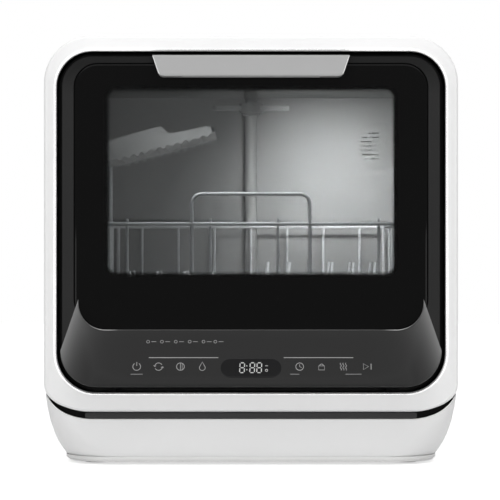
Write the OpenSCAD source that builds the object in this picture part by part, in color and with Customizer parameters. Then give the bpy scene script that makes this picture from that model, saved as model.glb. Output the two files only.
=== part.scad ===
// Countertop dishwasher, in millimetres with +Z up. The origin is on the surface that the feet
// stand on, under the middle of the machine. The door faces -Y and opens downwards.

/* [Overall] */
// Width over the casing
body_w = 420; // [410:1:480]
// Depth from the control panel's nose to the ends of the hose spigots
body_d = 435; // [425:1:500]
// Height from the feet to the top of the casing
body_h = 435; // [428:1:500]

/* [Base] */
// Height of the rubber feet below the base plate
foot_proud = 2.5; // [1.5:0.5:5]
// Diameter of a rubber foot
foot_d = 28; // [16:1:40]
// Thickness of the base plate
plate_t = 5.5; // [4:0.5:8]
// Height of the base tray at the middle of the front
tray_h = 39; // [30:1:48]
// Height of the dark strip between the base tray and the casing
accent_h = 6.4; // [4:0.2:9]
// Wall of the base tray
tray_wall = 4; // [2.5:0.5:6]
// How far the base tray's sides rise past the underside of the casing
cradle_h = 20; // [12:1:26]

/* [Casing] */
// Radius of the casing's upper corners, seen from the front
corner_r = 48; // [42:1:56]
// Radius of the casing's lower corners, which the base tray cradles
corner_low = 32; // [26:1:40]
// Wall of the casing and of the back panel
wall = 2.5; // [1.5:0.5:4]
// Depth of the front frame
frame_d = 28; // [26:1:36]
// White rim at each side of the door
rim_side = 13.25; // [11:0.25:18]
// White rim above the door
rim_top = 16; // [13:0.5:22]
// White rim below the door
rim_bottom = 20.6; // [18:0.2:26]
// Radius of the door opening's upper corners
open_r_top = 36; // [28:1:40]
// Radius of the door opening's lower corners
open_r_bottom = 40; // [32:1:42]
// How far the hose spigots stand out of the back panel
spigot_out = 12; // [8:1:20]

/* [Door] */
// Gap between the door and the front frame, at each side
door_gap = 3; // [2.5:0.5:4]
// How far the door's face lies behind the front frame's face
face_set = 3; // [2:0.5:5]
// Thickness of the outer glass
glass_t = 3.2; // [2.5:0.1:4]
// Thickness of the inner glass
inner_glass_t = 3; // [2:0.1:4]
// How far the control panel's nose stands out in front of the front frame
nose_out = 17.5; // [14:0.5:20]
// Height of the control panel
chin_h = 59.5; // [52:0.5:70]
// Radius of the nose
nose_r = 6; // [4:0.5:7]
// Wall of the control panel
chin_wall = 2.4; // [1.6:0.2:3]
// Width of the dark glass beside the window
glass_side = 32.25; // [29:0.25:60]
// Height of the dark glass above the window
glass_above = 24.5; // [22:0.5:40]
// Height of the dark glass below the window
glass_below = 55.5; // [48:0.5:60]
// Width of the pull plate along its top
handle_w = 199.4; // [140:0.2:240]
// Height of the pull plate
handle_h = 22.8; // [16:0.2:26]
// Finger room behind the pull plate
finger_gap = 14; // [10:0.5:15]

/* [Controls] */
// Width of the display window
display_w = 61; // [50:1:80]
// Height of the display window, along the panel's slope
display_h = 20; // [16:1:26]

/* [Tub] */
// Space beside the tub, at each side
tub_side = 34; // [33:0.5:38]
// Space above the tub
tub_over = 39; // [35:0.5:43]
// Depth of the room behind the tub
room_d = 53; // [52:0.5:58]
// Height of the tub's floor above the casing's underside
tub_up = 71.6; // [70:0.2:74]
// Thickness of the tub's steel sheet
sheet = 1.5; // [1:0.1:2]
// Thickness of the door gasket
seal_t = 3.7; // [3:0.1:4.5]

/* [Basket] */
// Gap between the basket's sides and the tub
basket_gap = 16; // [15:1:20]
// Height of the basket's rail above its floor
basket_h = 91; // [75:1:105]
// Thickness of the basket's frame wire
wire_d = 4; // [3:0.5:5]
// Thickness of the basket's thin wire
thin_d = 3; // [2:0.5:3.5]
// Height of the raised loop above the basket's rail
loop_h = 31; // [20:1:34]
// Width of the raised loop
loop_w = 122; // [90:1:140]
// Distance from the shelf's tip to the middle of the tub, with the shelf level
shelf_short = 36; // [34:1:50]
// How steeply the shelf stands when it rests
shelf_tilt = 15; // [8:1:16]

/* [Wash system] */
// Distance from the lower spray arm's tips to the tub's wall
arm_gap = 21; // [18:1:40]
// Reach of the upper spray arm
top_arm_r = 42; // [30:1:43]
// Radius of the sump
sump_r = 52; // [46:1:54]
// Diameter of the wash pump's motor
motor_d = 58; // [44:1:60]
// Distance from the heater's ring to the tub's wall
heater_gap = 26; // [23:1:32]
// Pitch of the tall tines
tine_pitch = 23; // [18:1:25]
// Pitch of the low tines
low_pitch = 30; // [24:1:31]

/* [Hidden] */
$fn = 48;

// Clearances
slack = 0.3;    // between two bodies that pass each other
fit = 0.08;     // round a shaft or a pin that turns
facing = 0.2;   // between a door pane and its frame's edge
over = 1;       // how far a cutter runs past what it cuts
tuck = 0.04;    // how far a straight face starts inside a round one, so that the two join

// Heights of the base and the casing
z_plate = foot_proud;
z_tray = z_plate + plate_t;
z_accent = z_tray + tray_h;
z_case = z_accent + accent_h;
z_lip = z_case + cradle_h;
rim_gap = 0.5;                        // between the casing's side and the base tray's rim
z_bay = z_case + wall;
z_open0 = z_case + rim_bottom;
z_open1 = body_h - rim_top;
open_w = body_w - 2 * rim_side;

// Depths of the casing
y_nose = -body_d / 2;
y_front = y_nose + nose_out;
y_frame = y_front + frame_d;
y_rear = body_d / 2 - spigot_out;
y_back = y_rear - wall;

// Depths and heights of the door
y_face = y_front + face_set;
y_glass = y_face + 1;
y_pane = y_glass + glass_t;
y_plate = y_frame - seal_t - slack;   // the face that meets the gasket
skin = 1.6;                           // sheet of the inner door panel
y_core = y_plate - skin * 2.5;
pan_out = 10;                         // how far the inner panel stands into the tub
door_lift = 3.5;
door_drop = 2.5;
z_door0 = z_open0 + door_lift;
z_door1 = z_open1 - door_drop;
door_w = open_w - 2 * door_gap;
door_r0 = open_r_bottom + 4;
door_r1 = open_r_top - 3;
z_chin = z_door0 + chin_h;
strip = 14.5;                         // width of the door frame's side strips
strip_top = 9.5;
glass_w = door_w - 2 * strip;
z_win0 = z_chin + glass_below;
z_win1 = z_door1 - strip_top - glass_above;
window_w = glass_w - 2 * glass_side;
glass_r0 = 32;
glass_r1 = 24;
window_r = 8;

// Hinge: the pins stand in front of the front frame, inside the control panel
hinge_y = y_nose + 11.5;
hinge_z = z_door0 + 9.5;
pin_d = 8;
hinge_x = body_w / 3;
arm_t = 6;
arm_eye_r = 6.5;

// Slope of the control panel: its face touches the nose's round
nose_y = y_nose + nose_r;
nose_z = z_door0 + nose_r;
chin_run = y_face - nose_y;
chin_rise = z_chin - nose_z;
chin_slant = norm([chin_run, chin_rise]);
chin_tilt = atan2(chin_run, chin_rise) + asin(nose_r / chin_slant);
chin_y = nose_y - nose_r * cos(chin_tilt);
chin_z = nose_z + nose_r * sin(chin_tilt);

// Tub
z_tub0 = z_case + tub_up;
z_tub1 = body_h - tub_over;
y_tub = y_back - room_d;
tub_w = body_w - 2 * tub_side;
tub_d = y_tub - y_frame;
tub_r = 10;
tub_y = (y_frame + y_tub) / 2;        // the spray arms turn about this depth
gasket_w = 8;
gasket_in = 2;
tub_reach = min(tub_w, tub_d) / 2;    // from its middle to the nearer walls
heater_r = tub_reach - heater_gap;
arm_r = tub_reach - arm_gap;
y_sump = tub_y - heater_r * 0.622;
cup_r = 30;

// Basket
basket_x = tub_w / 2 - basket_gap - wire_d / 2;
basket_y0 = y_frame + 22;
basket_y1 = y_tub - 20;
rail_h = 4;
rail_w = 10;
z_rail = z_tub0 + tub_r;
z_glide = z_rail + rail_h + slack;
z_basket = z_tub0 + 29;
z_hoop = z_basket + basket_h;
basket_d = basket_y1 - basket_y0;
lap = wire_d / 2 - slack / 2;         // how far from a wire's middle another one meets it
shelf_z = z_tub1 - 78;
shelf_l = basket_x - shelf_short;
shelf_y0 = basket_y0 + basket_d * 0.15;
shelf_d = basket_d * 0.57;
rod_d = 5;
rim = 8;                              // how much wider the shelf's hub is than its rod

// Wash system
z_arm = z_tub0 + 10;
arm_h = 11;
post_d = 20;
z_pump = z_bay + 34;
pump_r = 32;
pump_l = 28;
motor_l = 77;
pipe_d = 14;
y_riser = y_tub - 9;
z_ceiling = z_tub1 - pipe_d / 2 - 2;
z_hose = z_bay + 44;
hose_x = 45;
heater_d = 7;
heater_turn = 2 * asin(10 / heater_r);  // half the angle between the heater's ends

// Machinery at the back
y_tank = y_tub + sheet + 3;
tank_d = room_d - 10;
fan_x = body_w / 2 - 60;
tank_x0 = 20 - body_w / 2;
tank_x1 = fan_x - 40;
z_tank0 = z_tub0 + 5;
z_tank1 = body_h - 50;
fill_x = tank_x0 + 70;
fill_y = y_tank + tank_d / 2 + 1;
fill_d = 44;
fill_bore = 30;
z_cap = body_h - 0.5;
drain_x = -sump_r - 29;
z_drain = z_bay + 29;
drain_d = 20;
inlet_x = fan_x - 55;
z_inlet = z_bay + 34;
inlet_d = 26.4;
collar = 2;                           // flange of a spigot on the outside of the back panel
gland_x = body_w / 2 - 50;
z_gland = z_bay + 29;
z_fan = z_tub1 - 56;
fan_d = 52;
fan_l = 20;

// Latch, detergent cup and display
hook_w = 7;
z_hook = z_tub1 + 15;
cup_w = 62;
cup_x = 80;
z_cup0 = z_tub0 + 20;
z_cup1 = z_cup0 + 36;
display_v = 14.5;                     // height of the display's middle, up the slope

white = "#f1f1f0";
dark = "#2a2a2b";
black = "#141415";
steel = "#b9bcc0";
grey = "#a9abae";

// ---- Shapes that repeat ----

// Extrudes a shape, drawn in X and Z, along Y
module along_y(y0, y1) {
    translate([0, y1, 0]) rotate([90, 0, 0]) linear_extrude(y1 - y0) children();
}

// Round rod along X, from x0 to x1
module rod_x(x0, x1, y, z, d) {
    translate([x0, y, z]) rotate([0, 90, 0]) cylinder(d = d, h = x1 - x0);
}

// Round rod along Y, from y0 to y1
module rod_y(x, y0, y1, z, d) {
    translate([x, y0, z]) rotate([-90, 0, 0]) cylinder(d = d, h = y1 - y0);
}

// Round rod along Z, from z0 to z1
module rod_z(x, y, z0, z1, d) {
    translate([x, y, z0]) cylinder(d = d, h = z1 - z0);
}

// Ball where two tubes of diameter d meet, a little wider than they are
module elbow(x, y, z, d) {
    translate([x, y, z]) sphere(d = d * 1.1);
}

// Panel outline in X and Z, w wide, with radius r0 below and r1 above
module panel(w, z0, z1, r0, r1) {
    mid = (z0 + z1) / 2;
    translate([-w / 2, z0 + r0]) square([w, z1 - z0 - r0 - r1]);
    translate([-w / 2 + r0, z0]) square([w - 2 * r0, mid - z0]);
    translate([-w / 2 + r1, mid - over]) square([w - 2 * r1, z1 - mid + over]);
    for (s = [-1, 1]) {
        translate([s * (w / 2 - r0), z0 + r0]) circle(r0);
        translate([s * (w / 2 - r1), z1 - r1]) circle(r1);
    }
}

// Panel outline centred on x, with one radius
module patch(x, w, z0, z1, r) {
    translate([x, 0]) panel(w, z0, z1, r, r);
}

module case_outline(grow) {
    panel(body_w + 2 * grow, z_case - grow, body_h + grow, corner_low + grow, corner_r + grow);
}

// What the base tray's rim leaves free: the dark strip's height below the casing, next to none beside it
module rim_outline() {
    panel(body_w + 2 * rim_gap, z_accent, body_h, corner_low + 4, corner_r);
}

module opening_outline() {
    panel(open_w, z_open0, z_open1, open_r_bottom, open_r_top);
}

module door_outline(inset) {
    panel(door_w - 2 * inset, z_door0 + inset, z_door1 - inset, door_r0 - inset, door_r1 - inset);
}

// Flat slab with rounded corners: half width, front edge, front radius, height of its middle
module slab(half, y0, r, z, t) {
    back_r = 10;
    for (s = [-1, 1]) {
        translate([s * (half - r), y0 + r, z]) cylinder(r = r, h = t, $fn = 64);
        translate([s * (half - back_r), y_rear - back_r, z]) cylinder(r = back_r, h = t);
    }
}

// Places its children at four corners: half width, front, back
module four_corners(x, y0, y1) {
    for (sx = [-x, x], y = [y0, y1]) translate([sx, y, 0]) children();
}

// Puts a drawing on the control panel's slope: X along it, Y up it from the nose
module on_chin() {
    translate([0, chin_y, chin_z]) rotate([90 - chin_tilt, 0, 0]) children();
}

// ---- Base ----

module foot_places() {
    four_corners(body_w / 2 - 52, y_front + 48, y_rear - 34) children();
}

module rubber_feet() {
    peg_d = foot_d / 2.5;
    color("#2b2b2b") foot_places() {
        cylinder(d = foot_d, h = foot_proud);
        cylinder(d = peg_d, h = foot_proud + plate_t - 1.5);
    }
}

module base_plate() {
    rise = plate_t / 2;
    color("#dcdcdc") difference() {
        hull() {
            slab(body_w / 2 - 21.5, y_front + 10, 46, z_plate, 0.5);
            slab(body_w / 2 - 19, y_front + 8, 46, z_plate + rise, plate_t - rise);
        }
        foot_places() translate([0, 0, z_plate - over])
            cylinder(d = foot_d / 2.5, h = plate_t - 1.5 + over);
        for (i = [-4:4], y = [y_front * 0.35, y_rear * 0.45])
            translate([i * body_w / 17 - 4, y - 25, z_plate - over])
                cube([8, 50, plate_t + 2 * over]);
    }
}

// The base tray's outside, shrunk by inset: it narrows downwards and rounds its front corners
module tray_block(inset) {
    translate([0, -inset, 0]) hull() {
        slab(body_w / 2 - 18 - inset, y_front + 7 + 2 * inset, 48, z_tray + inset, 0.2);
        slab(body_w / 2 - 11.5 - inset, y_front + 3.5 + 2 * inset, 40, z_tray + tray_h * 0.3, 0.2);
        slab(body_w / 2 - 4 - inset, y_front + 1 + 2 * inset, 24, z_tray + tray_h * 0.95, 0.2);
        slab(body_w / 2 - 1 - inset, y_front + 2 * inset, 12, z_lip - 0.2, 0.2);
    }
}

module base_tray() {
    color(white) difference() {
        tray_block(0);
        tray_block(tray_wall);
        along_y(y_front - over, y_rear + over) rim_outline();
    }
}

module accent_strip() {
    inset = 3;
    color("#3d3d3e") difference() {
        along_y(y_front + inset, y_rear - inset) intersection() {
            rim_outline();
            translate([-body_w / 2 + inset, 0]) square([body_w - 2 * inset, z_lip - inset]);
        }
        along_y(y_front - over, y_rear + over) case_outline(0);
        along_y(y_front + 30, y_rear - 14) square([body_w / 2, z_case * 4], center = true);
    }
}

// ---- Casing ----

module casing_shell() {
    color(white) difference() {
        along_y(y_frame, y_back) case_outline(0);
        along_y(y_frame - over, y_back + over) case_outline(-wall);
        rod_z(fill_x, fill_y, body_h - 2 * wall, body_h + over, fill_d + 4);
        for (sx = [-1, 1], i = [0:7])
            translate([sx * body_w / 2, y_back - 107 + i * 10, (z_case + body_h) / 2])
                cube([4 * wall, 4, 60], center = true);
    }
}

module front_frame() {
    bevel = 7;
    color(white) difference() {
        hull() {
            along_y(y_front, y_front + 0.1) case_outline(-bevel);
            along_y(y_front + bevel * 0.13, y_front + bevel * 0.13 + 0.1) case_outline(-bevel * 0.5);
            along_y(y_front + bevel * 0.5, y_front + bevel * 0.5 + 0.1) case_outline(-bevel * 0.13);
            along_y(y_front + bevel, y_frame) case_outline(0);
        }
        along_y(y_front - over, y_frame + over) opening_outline();
        for (s = [-1, 1]) translate([s * hinge_x - arm_t / 2, hinge_y + 12, z_open0 - 8])
            cube([arm_t, 18, 20]);
    }
}

module back_panel() {
    color("#e2e2e0") difference() {
        along_y(y_back, y_rear) case_outline(0);
        rod_y(drain_x, y_back - over, y_rear + over, z_drain, drain_d);
        rod_y(inlet_x, y_back - over, y_rear + over, z_inlet, inlet_d);
        rod_y(gland_x, y_back - over, y_rear + over, z_gland, 16);
        along_y(y_back - over, y_rear + over) patch(fan_x, fan_d, z_fan - fan_d / 2, z_fan + fan_d / 2, 4);
        screw_places() rod_y(0, y_back - over, y_rear + over, 0, 4);
    }
}

module screw_places() {
    for (sx = [-1, 1], z = [z_case + 60, (z_case + body_h) / 2, body_h - 60])
        translate([sx * (body_w / 2 - 8), 0, z]) children();
}

module casing_screws() {
    color(steel) screw_places() {
        rod_y(0, y_rear, y_rear + 2.2, 0, 8);
        rod_y(0, y_back, y_rear, 0, 4);
    }
}

// ---- Tub ----

module tub_outline(grow) {
    panel(tub_w + 2 * grow, z_tub0 - grow, z_tub1 + grow, tub_r + grow, tub_r + grow);
}

module tub() {
    color(steel) difference() {
        union() {
            along_y(y_frame, y_tub + sheet) tub_outline(sheet);
            along_y(y_frame, y_frame + sheet) case_outline(-wall - 1);
        }
        along_y(y_frame - over, y_tub) tub_outline(0);
        translate([0, y_sump, z_tub0 - 2 * sheet]) cylinder(r = sump_r - 4, h = 4 * sheet);
        rod_z(0, tub_y, z_tub0 - 2 * sheet, z_tub0 + 2 * sheet, post_d + 6);
        rod_z(0, y_riser, z_tub0 - 2 * sheet, z_tub0 + 2 * sheet, pipe_d);
        heater_ends() translate([0, 0, z_tub0 - 2 * sheet]) cylinder(d = heater_d, h = 4 * sheet);
        rod_y(fan_x, y_tub - over, y_tub + 2 * sheet, z_fan, fan_d - 8);
        translate([-hook_w, y_frame - over, z_hook - 4]) cube([2 * hook_w, 4 * sheet, 12]);
    }
}

module tub_gasket() {
    color("#3a3a3a") along_y(y_frame - seal_t, y_frame) difference() {
        tub_outline(gasket_in + gasket_w);
        tub_outline(gasket_in);
    }
}

module basket_rails() {
    color(grey) for (s = [-1, 1]) {
        translate([s * (tub_w / 2 - rail_w / 2) - rail_w / 2, y_frame + 6, z_rail])
            cube([rail_w, tub_d - 16, rail_h]);
        translate([s * (tub_w / 2 - 2) - 2, y_tub - 16, z_rail]) cube([4, 6, 3 * rail_h]);
    }
}

// ---- Sump and filters ----

module sump() {
    z_bowl = z_bay + 20;
    color("#4a4d50") difference() {
        union() {
            translate([0, y_sump, z_bowl]) cylinder(r = sump_r, h = z_tub0 - sheet - z_bowl);
            rod_y(0, y_sump + sump_r - 6, tub_y - pump_l / 2, z_pump, 26);
            rod_x(drain_x + 9, -sump_r + 6, y_sump, z_drain, 18);
        }
        translate([0, y_sump, z_bowl + 3]) cylinder(r = sump_r - 3, h = z_tub0);
        rod_y(0, y_sump, tub_y, z_pump, 20);
        rod_x(drain_x, 0, y_sump, z_drain, 12);
    }
}

module coarse_filter() {
    color(steel) translate([0, y_sump, z_tub0]) difference() {
        cylinder(r = sump_r - 2, h = 1.5);
        translate([0, 0, -over]) cylinder(r = cup_r + 0.6, h = 5);
        for (a = [0:20:340]) rotate(a) translate([cup_r + 8, 0, -over]) cylinder(d = 5, h = 5);
        for (a = [10:20:350]) rotate(a) translate([cup_r + 14.5, 0, -over]) cylinder(d = 4, h = 5);
    }
}

module filter_cup() {
    z_foot = z_bay + 26;
    z_top = z_tub0 + 1.5 + slack;
    color(grey) translate([0, y_sump, 0]) {
        difference() {
            union() {
                translate([0, 0, z_foot]) cylinder(r = cup_r, h = z_top + 2 - z_foot);
                translate([0, 0, z_top]) cylinder(r = cup_r + 5, h = 2);
            }
            translate([0, 0, z_foot + 2]) cylinder(r = cup_r - 2, h = z_top);
            for (a = [0:45:135]) rotate(a)
                translate([-cup_r * 2, -5, z_foot + 8]) cube([cup_r * 4, 10, 24]);
        }
        translate([-cup_r + 1, -2, z_top - 10]) cube([2 * cup_r - 2, 4, 14]);
    }
}

// ---- Spray arms and water ways ----

module spray_post() {
    color(grey) difference() {
        union() {
            rod_z(0, tub_y, z_pump + pump_r - 1.5, z_arm, post_d + 6);
            rod_z(0, tub_y, z_arm, z_arm + arm_h + 0.5, post_d);
        }
        rod_z(0, tub_y, z_pump, z_arm + 2 * arm_h, post_d - 6);
        translate([0, tub_y, z_pump]) rotate([90, 0, 0]) cylinder(r = pump_r, h = 60, center = true);
    }
}

module arm_retainer() {
    color(grey) difference() {
        rod_z(0, tub_y, z_arm + arm_h + 0.5, z_arm + arm_h + 3.5, post_d + 8);
        rod_z(0, tub_y, z_arm, z_arm + arm_h + 5, post_d - 6);
    }
}

// One spray blade in X and Y, from its hub out to reach
module blade(reach, root, tip) {
    polygon([[0, -root], [reach - tip, -tip], [reach - tip, tip], [0, root]]);
    translate([reach - tip, 0]) circle(tip);
}

module lower_spray_arm() {
    color(grey) translate([0, tub_y, z_arm + slack]) difference() {
        union() {
            cylinder(d = post_d + 14, h = arm_h - 2 * slack);
            translate([0, 0, 1.5]) linear_extrude(7) {
                blade(arm_r, 15, 9);
                rotate(180) blade(arm_r, 15, 9);
            }
        }
        translate([0, 0, -over]) cylinder(d = post_d + 2 * fit, h = arm_h + 2 * over);
        for (a = [0, 180], i = [0:3]) rotate(a)
            translate([arm_r * (0.34 + 0.19 * i), (i % 2) * 5 - 2, 5]) cylinder(d = 3.2, h = 5);
    }
}

module upper_spray_arm() {
    hub_z = z_ceiling - pipe_d / 2 - 11;
    color(grey) translate([0, tub_y, hub_z]) difference() {
        union() {
            cylinder(d = 26, h = 10 - slack);
            translate([0, 0, 2]) linear_extrude(5) for (a = [0, 180]) rotate(a)
                blade(top_arm_r, 9, 6);
        }
        translate([0, 0, -over]) cylinder(d = 12 + 2 * fit, h = 20);
        for (a = [0, 180], r = [0.5, 0.8]) rotate(a)
            translate([top_arm_r * r, 0, -over]) cylinder(d = 3, h = 6);
    }
}

module riser_pipe() {
    z_end = z_ceiling - pipe_d / 2 - 11.5;
    color(grey) {
        rod_z(0, y_riser, z_tub0 - sheet - 4, z_ceiling, pipe_d);
        elbow(0, y_riser, z_ceiling, pipe_d);
        rod_y(0, tub_y, y_riser, z_ceiling, pipe_d);
        elbow(0, tub_y, z_ceiling, pipe_d);
        rod_z(0, tub_y, z_end, z_ceiling, 12);
        rod_z(0, tub_y, z_end - 3, z_end, 20);
    }
}

module riser_hose() {
    z_end = z_tub0 - sheet - 4;
    color("#333436") difference() {
        union() {
            rod_z(0, y_riser, z_hose, z_end, pipe_d);
            elbow(0, y_riser, z_hose, pipe_d);
            rod_x(0, hose_x, y_riser, z_hose, pipe_d);
            elbow(hose_x, y_riser, z_hose, pipe_d);
            rod_y(hose_x, tub_y, y_riser, z_hose, pipe_d);
            elbow(hose_x, tub_y, z_hose, pipe_d);
            rod_x(20, hose_x, tub_y, z_hose, pipe_d);
        }
        rod_y(0, tub_y - pump_l, tub_y + pump_l / 2, z_pump, 2 * pump_r);
    }
}

// Places its children at the two ends of the heater's ring
module heater_ends() {
    for (s = [-1, 1]) translate([0, tub_y, 0]) rotate(90 + s * heater_turn)
        translate([heater_r, 0, 0]) children();
}

module heater() {
    z_ring = z_tub0 + heater_d / 2 + 2.5;
    color("#6f7174") {
        translate([0, tub_y, z_ring]) rotate(90 + heater_turn)
            rotate_extrude(angle = 360 - 2 * heater_turn) translate([heater_r, 0])
                circle(d = heater_d, $fn = 24);
        heater_ends() {
            elbow(0, 0, z_ring, heater_d);
            translate([0, 0, z_tub0 - 8]) cylinder(d = heater_d, h = z_ring - z_tub0 + 8);
        }
    }
}

module wash_pump() {
    half = pump_l / 2;
    color("#55585b") difference() {
        rod_y(0, tub_y - half, tub_y + half, z_pump, 2 * pump_r);
        rod_y(0, tub_y - half + 4, tub_y + half - 4, z_pump, 2 * pump_r - 8);
        rod_y(0, tub_y - 2 * half, tub_y, z_pump, 20);
        rod_y(0, tub_y, tub_y + 2 * half, z_pump, 8 + 2 * fit);
        rod_z(0, tub_y, z_pump, z_pump + 2 * pump_r, post_d - 6);
    }
}

module wash_impeller() {
    half = pump_l / 2;
    color(grey) translate([0, tub_y, z_pump]) rotate([-90, 0, 0]) {
        translate([0, 0, 4]) cylinder(d = 44, h = 3);
        for (a = [0:60:300]) rotate(a) translate([5, -1, -7]) cube([16, 2, 12]);
        translate([0, 0, -7]) cylinder(d = 13, h = 12);
        translate([0, 0, 4]) cylinder(d = 8, h = half + 10);
    }
}

module wash_motor() {
    y0 = tub_y + pump_l / 2;
    color("#8f9296") difference() {
        union() {
            rod_y(0, y0, y0 + motor_l, z_pump, motor_d);
            translate([-20, y0 + 14, z_bay]) cube([40, 46, 14]);
        }
        rod_y(0, y0 - over, y0 + 14, z_pump, 8 + 2 * fit);
        rod_y(0, y0 + 12, y0 + 16, z_pump, 12);
    }
}

module drain_pump() {
    vol_r = 22;
    body_l = 60;
    x0 = drain_x - 9;
    color("#55585b") difference() {
        union() {
            rod_x(x0, drain_x + 9, y_sump, z_drain, 2 * vol_r);
            rod_x(x0 - body_l, x0, y_sump, z_drain, 40);
            translate([x0 - 50, y_sump - 16, z_bay]) cube([40, 32, 14]);
        }
        rod_x(x0 + 2.5, drain_x + 6.5, y_sump, z_drain, 2 * vol_r - 6);
        rod_x(drain_x, drain_x + 20, y_sump, z_drain, 12);
        rod_x(x0 - 15, drain_x, y_sump, z_drain, 5 + 2 * fit);
        rod_y(drain_x, y_sump + 8, y_sump + 2 * vol_r, z_drain, 11);
    }
}

module drain_impeller() {
    color(grey) translate([drain_x, y_sump, z_drain]) rotate([0, -90, 0]) {
        translate([0, 0, 1]) cylinder(d = 30, h = 2);
        for (a = [0:90:270]) rotate(a) translate([3, -1, -5]) cube([11, 2, 7]);
        translate([0, 0, -5]) cylinder(d = 9, h = 7);
        translate([0, 0, 1]) cylinder(d = 5, h = 20);
    }
}

module drain_hose() {
    color("#333436") difference() {
        rod_y(drain_x, y_sump + 10, y_back - 4, z_drain, drain_d);
        rod_y(drain_x, y_sump, y_back, z_drain, drain_d - 6);
        rod_x(drain_x - 30, drain_x + 30, y_sump, z_drain, 44);
    }
}

module drain_spigot() {
    color("#333436") difference() {
        union() {
            rod_y(drain_x, y_back - 4, body_d / 2, z_drain, drain_d);
            rod_y(drain_x, y_back - 4, y_back, z_drain, drain_d + 10);
            rod_y(drain_x, y_rear, y_rear + collar, z_drain, drain_d + 10);
        }
        rod_y(drain_x, y_back - 10, body_d / 2 + over, z_drain, drain_d - 6);
    }
}

module inlet_valve() {
    color("#e8e8e6") difference() {
        union() {
            translate([inlet_x - 15, y_back - 34, z_inlet - 15]) cube([30, 30, 30]);
            translate([inlet_x - 11, y_back - 31, z_bay]) cube([22, 24, z_inlet - z_bay]);
            rod_z(inlet_x - 8, y_back - 19, z_inlet, z_tank0, 10);
        }
        rod_y(inlet_x, y_back - 20, y_back, z_inlet, inlet_d - 12);
        rod_z(inlet_x - 8, y_back - 19, z_inlet, z_tank0 + over, 6);
    }
}

module inlet_connector() {
    color(steel) difference() {
        union() {
            rod_y(inlet_x, y_back - 4, y_back, z_inlet, inlet_d + 8);
            rod_y(inlet_x, y_back, body_d / 2, z_inlet, inlet_d);
            rod_y(inlet_x, y_rear, y_rear + collar, z_inlet, inlet_d + 10);
        }
        rod_y(inlet_x, y_back - 10, body_d / 2 + over, z_inlet, inlet_d - 12);
    }
}

module tank_outline(grow) {
    translate([(tank_x0 + tank_x1) / 2, 0])
        panel(tank_x1 - tank_x0 + 2 * grow, z_tank0 - grow, z_tank1 + grow, 12 + grow, 12 + grow);
}

module water_tank() {
    shell = 2.5;
    color("#d9dcde") difference() {
        along_y(y_tank, y_tank + tank_d) tank_outline(0);
        along_y(y_tank + shell, y_tank + tank_d - shell) tank_outline(-shell);
        rod_z(fill_x, fill_y, z_tank1 - 2 * shell, z_tank1 + over, fill_bore);
        rod_z(fill_x - 20, fill_y, z_tank0 - over, z_tank0 + 2 * shell, 8);
        rod_z(inlet_x - 8, y_back - 19, z_tank0 - over, z_tank0 + 2 * shell, 6);
    }
}

module tank_hose() {
    x0 = fill_x - 20;
    y1 = y_sump + 35;
    z = z_hose + 8;
    d = 12;
    color("#333436") difference() {
        union() {
            rod_z(x0, fill_y, z, z_tank0, d);
            elbow(x0, fill_y, z, d);
            rod_y(x0, y1, fill_y, z, d);
            elbow(x0, y1, z, d);
            rod_x(x0, -sump_r + 30, y1, z, d);
        }
        rod_z(0, y_sump, z_bay, z_tub0, 2 * sump_r);
    }
}

module fill_neck() {
    z_seat = body_h - wall;
    color(grey) difference() {
        union() {
            rod_z(fill_x, fill_y, z_tank1, z_seat - 4, fill_bore + 6);
            rod_z(fill_x, fill_y, z_seat - 4, z_seat, fill_d + 8);
        }
        rod_z(fill_x, fill_y, z_tank1 - over, z_seat + over, fill_bore);
    }
}

module fill_cap() {
    z_seat = body_h - wall + slack;
    t = z_cap - z_seat;
    color(grey) {
        rod_z(fill_x, fill_y, z_seat, z_cap, fill_d);
        rod_z(fill_x, fill_y, z_seat - 14, z_seat, fill_bore - 2 * slack);
        translate([fill_x - 16, fill_y - 2.5, z_seat + t / 2]) cube([32, 5, body_h - z_seat - t / 2]);
    }
}

module fan_housing() {
    y0 = y_tub + sheet;
    color("#2f3133") difference() {
        along_y(y0, y_back) patch(fan_x, fan_d + 8, z_fan - fan_d / 2 - 4, z_fan + fan_d / 2 + 4, 5);
        rod_y(fan_x, y0 - over, y_back + over, z_fan, fan_d);
    }
    color("#2f3133") difference() {
        union() {
            along_y(y0 + 6, y0 + 10) translate([fan_x, z_fan]) for (a = [0, 60, 120])
                rotate(a + 15) square([fan_d + 1, 3], center = true);
            rod_y(fan_x, y0 + 4, y0 + 12, z_fan, 16);
        }
        rod_y(fan_x, y0, y0 + 20, z_fan, 4 + 2 * fit);
    }
}

module fan_impeller() {
    y0 = y_tub + sheet;
    root = 7.5;
    reach = fan_d / 2 - 1.5;
    color(dark) {
        rod_y(fan_x, y0 + 12 + slack, y0 + fan_l + 4, z_fan, 18);
        rod_y(fan_x, y0 + 4, y0 + 13, z_fan, 4);
        for (i = [0:6]) translate([fan_x, y0 + 18, z_fan]) rotate([0, i * 360 / 7, 0])
            translate([(root + reach) / 2, 0, 0]) rotate([35, 0, 0])
                cube([reach - root, 2, 11], center = true);
    }
}

module vent_grille() {
    color(dark) difference() {
        along_y(y_back, y_rear + 1) patch(fan_x, fan_d, z_fan - fan_d / 2, z_fan + fan_d / 2, 4);
        for (i = [-5:5]) translate([fan_x, y_rear, z_fan + i * fan_d / 12.4])
            cube([fan_d - 8, 4 * wall, 2.2], center = true);
    }
}

module power_box() {
    x0 = sump_r + 10;
    w = body_w / 2 - corner_r - 10 - x0;
    d = tub_d * 0.4;
    h = 22;
    color("#e4e4e0") translate([x0, tub_y - d * 0.85, z_bay]) {
        cube([w, d, h]);
        translate([w * 0.1, d * 0.15, 0]) cube([w * 0.33, d * 0.2, h + 5]);
        translate([w * 0.5, d * 0.45, 0]) cube([w * 0.4, d * 0.4, h + 4]);
    }
}

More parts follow.
